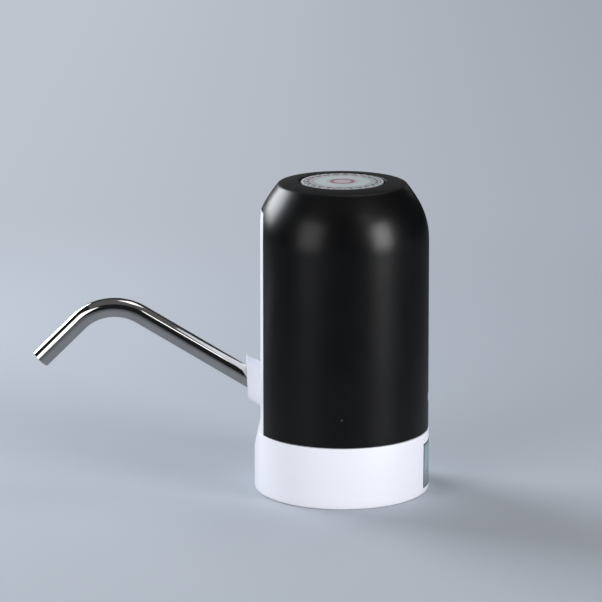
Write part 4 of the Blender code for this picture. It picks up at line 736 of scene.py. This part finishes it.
# %% Label
LABEL_LOW = REST + 2.6 * MM
LABEL_HIGH = REST + 21.7 * MM
LABEL_HALF_ANGLE = math.radians(21)
FILM = 0.12 * MM
label = bmesh.new()
foot = label.verts.new((BASE_RADIUS + FILM, 0, LABEL_LOW))
head = label.verts.new((BASE_RADIUS + FILM, 0, LABEL_HIGH))
side = label.edges.new((foot, head))
turned_back = Matrix.Rotation(-LABEL_HALF_ANGLE, 3, "Z")
bmesh.ops.rotate(label, cent=(0, 0, 0), matrix=turned_back, verts=label.verts)
bmesh.ops.spin(
    label, geom=[foot, head, side], cent=(0, 0, 0), axis=(0, 0, 1),
    angle=LABEL_HALF_ANGLE * 2, steps=28,
)
outward = max(label.faces, key=lambda face: face.calc_center_median().x)
outward.normal_update()
if outward.normal.x < 0:
    bmesh.ops.reverse_faces(label, faces=label.faces)
blank_label = piece("blank_label", label, "housing", wall=FILM)

# %% [markdown]
# ## Writing finishes as sums
# A finish here is worked out by shader nodes. To keep that readable, one small class
# wraps the output of a node, so that `1 - mask` or `grain * 0.3` adds the Math nodes
# itself. Colours go through a Mix node, because a Math node would turn them grey.

# %% The finish kit
class Wire:
    """An output of a node that can be used in a sum."""

    def __init__(self, finish, socket):
        self.finish = finish
        self.socket = socket

    def maths(self, operation, *values):
        settings = {"operation": operation}
        return self.finish.node("ShaderNodeMath", settings, dict(enumerate(values)))

    def __add__(self, other):
        return self.maths("ADD", self, other)

    def __radd__(self, other):
        return self.maths("ADD", other, self)

    def __sub__(self, other):
        return self.maths("SUBTRACT", self, other)

    def __rsub__(self, other):
        return self.maths("SUBTRACT", other, self)

    def __mul__(self, other):
        return self.maths("MULTIPLY", self, other)

    def __rmul__(self, other):
        return self.maths("MULTIPLY", other, self)

    def __truediv__(self, other):
        return self.maths("DIVIDE", self, other)

    def __rtruediv__(self, other):
        return self.maths("DIVIDE", other, self)

    def __pow__(self, other):
        return self.maths("POWER", self, other)

    def __gt__(self, other):
        return self.maths("GREATER_THAN", self, other)

    def __abs__(self):
        return self.maths("ABSOLUTE", self)

    def fraction(self):
        return self.maths("FRACT", self)

    def ease(self, low, high):
        """0 below low, 1 above high, smooth between them."""
        return self.finish.node(
            "ShaderNodeMapRange", {"interpolation_type": "SMOOTHSTEP"},
            {"Value": self, "From Min": low, "From Max": high},
        )


class Finish:
    """A material: its nodes, its Principled shader and short words for both."""

    def __init__(self, name, **constants):
        self.material = bpy.data.materials.new(name)
        self.material.use_nodes = True
        self.tree = self.material.node_tree
        self.shader = self.tree.nodes["Principled BSDF"]
        for socket, value in constants.items():
            self.shader.inputs[socket.replace("_", " ")].default_value = value
        self.place = self.node("ShaderNodeTexCoord", output="Object")

    def node(self, kind, settings=None, inputs=None, output=0):
        """Adds any node: first its settings, then the values or wires of its sockets."""
        made = self.tree.nodes.new(kind)
        for setting, value in (settings or {}).items():
            setattr(made, setting, value)
        for socket, value in (inputs or {}).items():
            if isinstance(value, Wire):
                self.tree.links.new(value.socket, made.inputs[socket])
            else:
                made.inputs[socket].default_value = value
        return Wire(self, made.outputs[output])

    def noise(self, grain, detail=2.0, stretch=(1, 1, 1)):
        """Soft noise whose grain is a real size in metres."""
        place = self.place
        if stretch != (1, 1, 1):
            place = self.node("ShaderNodeMapping", None, {"Vector": place, "Scale": stretch})
        return self.node("ShaderNodeTexNoise", None, {
            "Vector": place, "Scale": 1 / grain, "Detail": detail,
        })

    def axes(self):
        """The three coordinates of the surface point."""
        parts = self.tree.nodes.new("ShaderNodeSeparateXYZ")
        self.tree.links.new(self.place.socket, parts.inputs[0])
        return [Wire(self, output) for output in parts.outputs]

    def angle(self, x, y):
        """The angle round Z at a point, in radians."""
        return self.node("ShaderNodeMath", {"operation": "ARCTAN2"}, {0: y, 1: x})

    def mix(self, factor, first, second):
        """A colour between two colours, which are sockets 6 and 7 of a Mix node."""
        colours = [
            (*colour, 1) if isinstance(colour, tuple) else colour for colour in (first, second)
        ]
        return self.node(
            "ShaderNodeMix", {"data_type": "RGBA"},
            {0: factor, 6: colours[0], 7: colours[1]}, output=2,
        )

    def feed(self, socket, wire):
        self.tree.links.new(wire.socket, self.shader.inputs[socket])

    def bump(self, height, depth, strength=1.0):
        """Raises the surface by depth metres where height is 1."""
        self.feed("Normal", self.node("ShaderNodeBump", None, {
            "Height": height, "Distance": depth, "Strength": strength,
        }))


def tell(*finishes):
    """Prints how many nodes each finish took."""
    for finish in finishes:
        print(finish.material.name, len(finish.tree.nodes), "nodes")


print("finish kit ready")

# %% [markdown]
# ## White plastic
# The base, the panel and the collar are glossy white ABS. Up close such a moulding is
# never even: it has a very fine grain from the tool's surface and broad soft patches where
# hands have dulled it. Towards its foot its colour turns speckled and darker.

# %% White plastic
white = Finish("white_plastic_finish", Specular_IOR_Level=0.5)
handled = white.noise(0.030, 1.0)
speck = white.noise(0.0011, 2.0)
height_of_white = white.axes()[2]
# within 4 mm of the foot the colour is made speckled and darker, and a little rougher
darker_near_foot = 1 - height_of_white.ease(REST, REST + 4 * MM)
clean_white = white.mix(handled, (0.830, 0.850, 0.930), (0.850, 0.868, 0.945))
white.feed("Base Color", white.mix(darker_near_foot * 0.35 * speck, clean_white, (0.62, 0.61, 0.58)))
white.feed("Roughness", 0.30 + handled * 0.08 + darker_near_foot * 0.06)
white.bump(white.noise(0.00045, 2.0), 0.003 * MM, 0.4)
tell(white)

# %% [markdown]
# ## Black shell and button
# The shell is black ABS with a fine satin surface, the button a shade duller. The satin
# comes from a spark-eroded mould, whose marks are a bump of under a quarter of a
# millimetre. It spreads each lamp's reflection into the soft patches on the dome. The
# crown faces up into the lamps, so it is a little duller than the sides.

# %% Black plastic
def black_satin(name, colour, roughness, grain):
    """A satin black moulding: even colour, fine grain and faint handling marks."""
    finish = Finish(name, Specular_IOR_Level=0.36)
    rubbed = finish.noise(0.018, 4.0)
    lighter = tuple(level * 1.3 + 0.0004 for level in colour)
    finish.feed("Base Color", finish.mix(rubbed.ease(0.35, 0.75), colour, lighter))
    on_top = finish.axes()[2].ease(CREASE - 0.6 * MM, CREASE)
    finish.feed("Roughness", roughness + rubbed * 0.05 + on_top * 0.20)
    finish.bump(finish.noise(grain, 2.0), 0.004 * MM, 0.45)
    return finish


black = black_satin("black_plastic_finish", (0.0024, 0.0025, 0.0029), 0.28, 0.00016)
button_black = black_satin("button_plastic_finish", (0.0045, 0.0045, 0.005), 0.36, 0.00022)
tell(black, button_black)

# %% [markdown]
# ## Button foil
# The foil is metallised film with a printed dial. The print here is a plain generic one:
# two rings of short dashes, a thin line inside them and a dull pink ring in the middle for
# the power button. Besides the print, white dashes at the rim are painted glints, and a
# pale ring round the middle is a painted sheen. Each is a mask, worked out from the radius
# and the angle round the axis, because a mask drawn that way stays sharp at any size.

# %% The print's masks
foil_film = Finish("overlay_film_finish", Specular_IOR_Level=0.3, Metallic=0.35)
foil_x, foil_y, _ = foil_film.axes()
foil_radius = (foil_x * foil_x + foil_y * foil_y) ** 0.5
foil_angle = foil_film.angle(foil_x, foil_y) / math.tau


def ring_of(radius, half_width, blur=0.12 * MM):
    """A mask that is 1 on a ring round the axis."""
    away = abs(foil_radius - radius)
    return 1 - away.ease(half_width, half_width + blur)


def dashes(count, share, shift=0.0):
    """A mask of evenly spaced marks round the axis."""
    within = abs((foil_angle * count + shift).fraction() - 0.5)
    return 1 - within.ease(share / 2, share / 2 + 0.05)


outer_marks = ring_of(15.9 * MM, 0.35 * MM) * dashes(44, 0.55)
inner_marks = ring_of(14.3 * MM, 0.5 * MM) * dashes(22, 0.62, 0.3)
dial_line = ring_of(12.4 * MM, 0.12 * MM)
# painted glints: white dashes just inside the foil's rim stand in for light caught there
painted_rim_glints = ring_of(FOIL_RADIUS - 0.75 * MM, 0.25 * MM) * dashes(29, 0.4, 0.1)
# painted sheen: a pale ring round the middle stands in for light on the foil
painted_sheen_ring = ring_of(8.8 * MM, 1.6 * MM, 1.8 * MM)
power_ring = ring_of(4.4 * MM, 0.55 * MM, 0.3 * MM)
power_disc = 1 - foil_radius.ease(3.6 * MM, 4.2 * MM)
tell(foil_film)

# %% [markdown]
# ## The foil's colours
# Bare foil is a grey that wanders between a greener and a pinker tone. Layers go over it
# in turn: a pale ring of painted sheen, then the dark printed marks, then white dashes of
# painted glints at the rim, then the printed pink. The film is finely crinkled, so it is
# rough and only partly metallic: a smooth one would mirror the key lamp as a white disc.

# %% Foil colours
DARK_INK = (0.10, 0.115, 0.125)
shimmer = foil_film.noise(0.007, 2.0)
crinkle = foil_film.noise(0.0009, 3.0)
bare_foil = foil_film.mix(shimmer.ease(0.35, 0.65), (0.47, 0.54, 0.53), (0.57, 0.53, 0.59))
# painted sheen: the pale ring laid over the bare foil
painted_sheen_foil = foil_film.mix(painted_sheen_ring * 0.6, bare_foil, (0.66, 0.76, 0.77))
dark_marks = (outer_marks + inner_marks * 0.85 + dial_line * 0.35).ease(0, 1)
sheen_and_dark_print = foil_film.mix(dark_marks, painted_sheen_foil, DARK_INK)
# painted glints: white dashes laid over the print at the rim
sheen_print_and_glints = foil_film.mix(painted_rim_glints, sheen_and_dark_print, (0.94, 0.95, 0.96))
sheen_glints_and_pink_print = foil_film.mix(power_disc * 0.5, sheen_print_and_glints, (0.66, 0.56, 0.59))
foil_film.feed("Base Color", foil_film.mix(power_ring * 0.85, sheen_glints_and_pink_print, (0.34, 0.13, 0.17)))
foil_film.feed("Roughness", 0.72 + crinkle * 0.12)
foil_film.bump(crinkle, 0.02 * MM, 0.5)
tell(foil_film)

# %% [markdown]
# ## Label film
# The blank label is grey-blue film with a darker border. Its border follows the label's
# own edges: height, and the distance round the base, which is the angle from the X axis
# times the radius. One helper masks both pairs of edges, and the two masks together are
# the frame.

# %% Label film
label_film = Finish("label_film_finish", Specular_IOR_Level=0.5)
label_x, label_y, label_z = label_film.axes()
round_base = label_film.angle(label_x, label_y) * BASE_RADIUS
LABEL_BORDER = 0.9 * MM
label_middle = (LABEL_LOW + LABEL_HIGH) / 2


def near_edge(from_middle, half_size):
    """A mask that is 1 within the border's width of two opposite edges."""
    return abs(from_middle).ease(half_size - LABEL_BORDER, half_size - LABEL_BORDER * 0.8)


near_side = near_edge(round_base, LABEL_HALF_ANGLE * BASE_RADIUS)
near_end = near_edge(label_z - label_middle, (LABEL_HIGH - LABEL_LOW) / 2)
edge_mask = 1 - (1 - near_side) * (1 - near_end)
paper = label_film.noise(0.0016, 3.0)
pale_film = label_film.mix(paper, (0.27, 0.345, 0.40), (0.33, 0.40, 0.45))
label_film.feed("Base Color", label_film.mix(edge_mask, pale_film, (0.055, 0.10, 0.135)))
label_film.feed("Roughness", 0.30 + paper * 0.12)
label_film.bump(paper, 0.01 * MM, 0.3)
tell(label_film)

# %% [markdown]
# ## Metals
# All of the metals share one recipe. Their colour hardly varies, so what tells them
# apart is roughness and the direction of their fine marks. The spout is polished with
# almost none, the screws and the motor can show turning marks, and nickel is in between.

# %% Metals
def metal(name, colour, roughness, grain, mark_depth, stretch=(1, 1, 1)):
    """Bare or plated metal with fine marks and faint stains."""
    finish = Finish(name, Metallic=1.0)
    stain = finish.noise(0.009, 4.0)
    marks = finish.noise(grain, 3.0, stretch)
    duller = tuple(level * 0.86 for level in colour)
    finish.feed("Base Color", finish.mix(stain.ease(0.3, 0.8), colour, duller))
    finish.feed("Roughness", roughness + marks * roughness * 0.5 + stain.ease(0.5, 0.8) * 0.03)
    finish.bump(marks, mark_depth, 0.4)
    return finish


steel = metal("polished_steel_finish", (0.73, 0.72, 0.705), 0.065, 0.0006, 0.0012 * MM)
can_steel = metal("motor_steel_finish", (0.52, 0.52, 0.51), 0.28, 0.0012, 0.006 * MM, (1, 1, 0.15))
nickel = metal("nickel_finish", (0.64, 0.61, 0.55), 0.30, 0.0005, 0.001 * MM, (0.2, 1, 1))
screw_steel = metal("screw_steel_finish", (0.46, 0.46, 0.47), 0.30, 0.0004, 0.008 * MM)
tell(steel, can_steel, nickel, screw_steel)

# %% [markdown]
# ## Rubber and the mouldings inside
# Silicone lets a little light in, so it gets some subsurface scattering. The mouldings
# inside the housing are plain engineering plastics, matt and slightly mottled, because
# nobody polishes a mould for a part that isn't seen. The light guide is a smoky resin,
# the small lamps are clear, and both are made by the same recipe.

# %% Rubber and inner plastics
def moulded(name, colour, roughness, grain=0.0006, **constants):
    """A plain moulding: mottled colour, matt, with the mould's grain."""
    finish = Finish(name, **constants)
    mottle = finish.noise(0.006, 3.0)
    texture = finish.noise(grain, 3.0)
    deeper = tuple(level * 0.88 for level in colour)
    finish.feed("Base Color", finish.mix(mottle.ease(0.3, 0.7), colour, deeper))
    finish.feed("Roughness", roughness + texture * 0.10)
    finish.bump(texture, 0.01 * MM, 0.5)
    return finish


silicone = moulded(
    "silicone_finish", (0.76, 0.78, 0.79), 0.42, 0.0009,
    Subsurface_Weight=0.35, Subsurface_Scale=0.002,
)
grey = moulded("grey_plastic_finish", (0.32, 0.33, 0.35), 0.42)
pump_white = moulded("pump_plastic_finish", (0.66, 0.66, 0.63), 0.38)
switch_black = moulded("switch_black_finish", (0.02, 0.02, 0.021), 0.42, 0.0004)
smoky_resin = moulded("light_guide_finish", (0.035, 0.035, 0.037), 0.3, 0.0002)
lamp_resin = moulded(
    "lamp_clear_finish", (0.78, 0.33, 0.30), 0.14, 0.0007,
    Transmission_Weight=0.5, IOR=1.52,
)
tell(silicone, grey, pump_white, switch_black, smoky_resin, lamp_resin)

# %% [markdown]
# ## Circuit boards and the cell
# A board is green lacquer over copper tracks, which show as slightly raised, lighter
# lines: upright ones in some areas and level ones in the rest, parted by a coarse noise.
# The cell wears a blue shrink sleeve with faint creases round it, from stretched noise.

# %% Boards and cell
board = Finish("board_green_finish", Specular_IOR_Level=0.5)
board_x, board_y, board_z = board.axes()
TRACK_PITCH = 1.9 * MM
tracks_y = 1 - abs((board_y / TRACK_PITCH).fraction() - 0.5).ease(0.10, 0.16)
tracks_z = 1 - abs(((board_z + board_x) / (TRACK_PITCH * 1.4)).fraction() - 0.5).ease(0.08, 0.14)
areas = board.noise(0.006, 0.0) > 0.5
tracks = tracks_y * areas + tracks_z * (1 - areas)
board.feed("Base Color", board.mix(tracks, (0.012, 0.12, 0.045), (0.035, 0.21, 0.075)))
board.feed("Roughness", 0.34 + board.noise(0.0008) * 0.14)
board.bump(tracks, 0.03 * MM, 0.7)

wrap = Finish("battery_wrap_finish", Specular_IOR_Level=0.5, Coat_Weight=0.4, Coat_Roughness=0.15)
creases = wrap.noise(0.004, 3.0, (0.3, 0.3, 2.2))
wrap.feed("Base Color", wrap.mix(creases.ease(0.3, 0.7), (0.025, 0.14, 0.40), (0.035, 0.18, 0.46)))
wrap.feed("Roughness", 0.26 + creases * 0.16)
wrap.bump(creases, 0.06 * MM, 0.5)
tell(board, wrap)

# %% [markdown]
# ## Dressing every piece
# Every node of the model has a material slot in the record, and the first table chooses
# its finish by that slot. It dresses the hidden nodes too, since a moved joint or a
# taken-off shell would show them. The second table gives each new piece its finish.

# %% Dressing
FINISHES = {
    "white_plastic": white,
    "black_plastic": black,
    "button_plastic": button_black,
    "overlay_film": foil_film,
    "polished_steel": steel,
    "silicone": silicone,
    "grey_plastic": grey,
    "pump_plastic": pump_white,
    "motor_steel": can_steel,
    "board_green": board,
    "battery_wrap": wrap,
    "nickel": nickel,
    "screw_steel": screw_steel,
    "switch_black": switch_black,
    "lamp_clear": lamp_resin,
}
NEW_PIECES = {
    white_base: white,
    white_panel: white,
    white_collar: white,
    black_shell: black,
    black_button: button_black,
    button_foil: foil_film,
    steel_tube: steel,
    neck_gasket: silicone,
    soft_sleeve: silicone,
    suction_fitting: grey,
    charging_port: nickel,
    light_guide: smoky_resin,
    blank_label: label_film,
}


def dress(obj, finish):
    """Gives an object one finish in place of whatever it had."""
    if not obj.material_slots:
        obj.data.materials.append(finish.material)
    for slot in obj.material_slots:
        slot.material = finish.material


print("finishes for nodes", len(FINISHES))

# %% Dress the model
record_slots = {
    part["node"]: part["material_slot"] for part in frame["record"]["subparts"]
}
for node, obj in frame["nodes"].items():
    dress(obj, FINISHES[record_slots[node]])
for obj, finish in NEW_PIECES.items():
    dress(obj, finish)
print("dressed", len(record_slots), "nodes and", len(NEW_PIECES), "new pieces")

# %% [markdown]
# ## Floor and backdrop
# The photograph's floor is a pale grey-blue sheet that runs on into the backdrop with no
# line between them. Close to the pump the floor is an ordinary surface, so it takes the
# shadow. Further off the camera sees the backdrop's own colour instead, which the light
# path node allows without adding any light to the pump. Both the floor and the backdrop
# are painted lighter on the left and darker on the right, a painted shade across the set.
# Rays that don't come from the camera meet a darker floor, so that it is as dim in the
# steel as in the photograph.

# %% Floor
floor_shape = bmesh.new()
bmesh.ops.create_grid(floor_shape, x_segments=4, y_segments=4, size=6)
bmesh.ops.translate(floor_shape, vec=(0, 0, REST), verts=floor_shape.verts)
floor_mesh = bpy.data.meshes.new("studio_floor")
floor_shape.to_mesh(floor_mesh)
floor_shape.free()
studio_floor = bpy.data.objects.new("studio_floor", floor_mesh)
bpy.context.scene.collection.objects.link(studio_floor)
print("floor at", round(REST / MM, 2), "mm")

# %% Floor finish
LEFT_GREY = (0.515, 0.558, 0.624)
# the right-hand greys are darker than the left-hand ones: a painted shade across the set
SHADED_RIGHT_GREY = (0.340, 0.366, 0.422)
NEAR_LEFT_GREY = (0.560, 0.606, 0.674)
SHADED_NEAR_RIGHT_GREY = (0.478, 0.517, 0.580)
DIM_GREY = (0.13, 0.14, 0.155)
sheet = Finish("studio_floor_finish", Specular_IOR_Level=0.15, Roughness=0.6)
floor_x, floor_y, _ = sheet.axes()
# painted shade: this mask darkens the floor and backdrop towards the right
painted_shade_to_right = floor_x.ease(-0.32, 0.40)
distance = (floor_x * floor_x + floor_y * floor_y) ** 0.5
camera_ray = sheet.node("ShaderNodeLightPath", output="Is Camera Ray")
near_grey = sheet.mix(painted_shade_to_right, NEAR_LEFT_GREY, SHADED_NEAR_RIGHT_GREY)
dimmed = (1 - camera_ray) * (0.64 + 0.36 * distance.ease(0.06, 0.35))
sheet.feed("Base Color", sheet.mix(dimmed, near_grey, DIM_GREY))
backdrop = sheet.node("ShaderNodeEmission", None, {
    "Color": sheet.mix(painted_shade_to_right, LEFT_GREY, SHADED_RIGHT_GREY), "Strength": 1.0,
})
lit = Wire(sheet, sheet.shader.outputs[0])
both = sheet.node("ShaderNodeMixShader", None, {
    0: camera_ray * distance.ease(0.22, 0.60), 1: lit, 2: backdrop,
})
sheet.tree.links.new(both.socket, sheet.tree.nodes["Material Output"].inputs["Surface"])
dress(studio_floor, sheet)
tell(sheet)

# %% [markdown]
# ## World
# Beyond the floor there is only the world. The camera sees it in the backdrop's colour,
# and all other rays in a very dark grey, because the room round a studio set is dark and
# the glossy shell would show a bright one.

# %% World
DARK_ROOM = (0.014, 0.015, 0.017)
world = bpy.data.worlds.new("studio_world")
world.use_nodes = True
sky = world.node_tree
background = sky.nodes["Background"]
path = sky.nodes.new("ShaderNodeLightPath")
choice = sky.nodes.new("ShaderNodeMix")
choice.data_type = "RGBA"
choice.inputs[6].default_value = (*DARK_ROOM, 1)
choice.inputs[7].default_value = (*LEFT_GREY, 1)
sky.links.new(path.outputs["Is Camera Ray"], choice.inputs[0])
sky.links.new(choice.outputs[2], background.inputs["Color"])
bpy.context.scene.world = world
print("world nodes", len(sky.nodes))

# %% [markdown]
# ## Lamps
# The reflections in the shell and the spout say where the studio's soft boxes stood: a
# key behind on the left, which throws the shadow towards the right, a tall box in front
# on the right, a weaker one in front on the left and a panel overhead under a dim
# ceiling. A small one high in front on the right draws the bright line along the spout,
# and a dim strip behind lifts the crown. Three fills have no reflection of their own: one
# softens the key's shadow, two low ones light the base. The brightness is given for the
# lamp's face, so that a change of its size doesn't change its reflection.

# %% Lamps
AIM = Vector((0, 0, 0.05))


def softbox(name, azimuth, lift, away, width, height, radiance, tint=(1, 1, 1), glossy=True):
    """A rectangular lamp that looks at the pump, with the brightness of its face."""
    lamp = bpy.data.lights.new(name, "AREA")
    lamp.shape = "RECTANGLE"
    lamp.size = width
    lamp.size_y = height
    lamp.energy = radiance * math.pi * width * height
    lamp.color = tint
    obj = bpy.data.objects.new(name, lamp)
    turn_to, rise = math.radians(azimuth), math.radians(lift)
    way = Vector((
        math.cos(rise) * math.cos(turn_to), math.cos(rise) * math.sin(turn_to), math.sin(rise),
    ))
    obj.location = AIM + way * away
    obj.rotation_euler = way.to_track_quat("Z", "Y").to_euler()
    obj.visible_glossy = glossy
    obj.visible_camera = False
    bpy.context.scene.collection.objects.link(obj)


COOL = (0.93, 0.96, 1.0)
softbox("key_box", 141, 21.2, 1.1, 0.62, 0.44, 9.6, COOL)
softbox("key_fill", 144, 38, 1.3, 0.5, 0.4, 5.5, COOL, glossy=False)
softbox("right_box", -35, 14.5, 1.1, 0.42, 0.62, 9.0)
softbox("left_box", -134, 17, 1.1, 0.56, 0.76, 2.1)
softbox("line_box", -51, 43, 1.1, 0.24, 0.12, 2.2)
softbox("top_panel", 50, 72, 1.0, 0.44, 0.44, 1.9)
softbox("ceiling", 0, 88, 1.3, 2.2, 2.2, 0.10)
softbox("back_strip", 90, 13, 1.2, 1.3, 0.14, 0.6)
softbox("left_fill", -124, 4, 1.5, 1.0, 0.28, 13.4, glossy=False)
softbox("right_fill", -2, 4, 1.5, 0.8, 0.28, 11.2, glossy=False)

# %% [markdown]
# ## The end
# The dressed model has to fill the same box as the solids. The picture's colours
# stay plain, with no film look over them.

# %% The end
bpy.context.scene.view_settings.view_transform = "Standard"
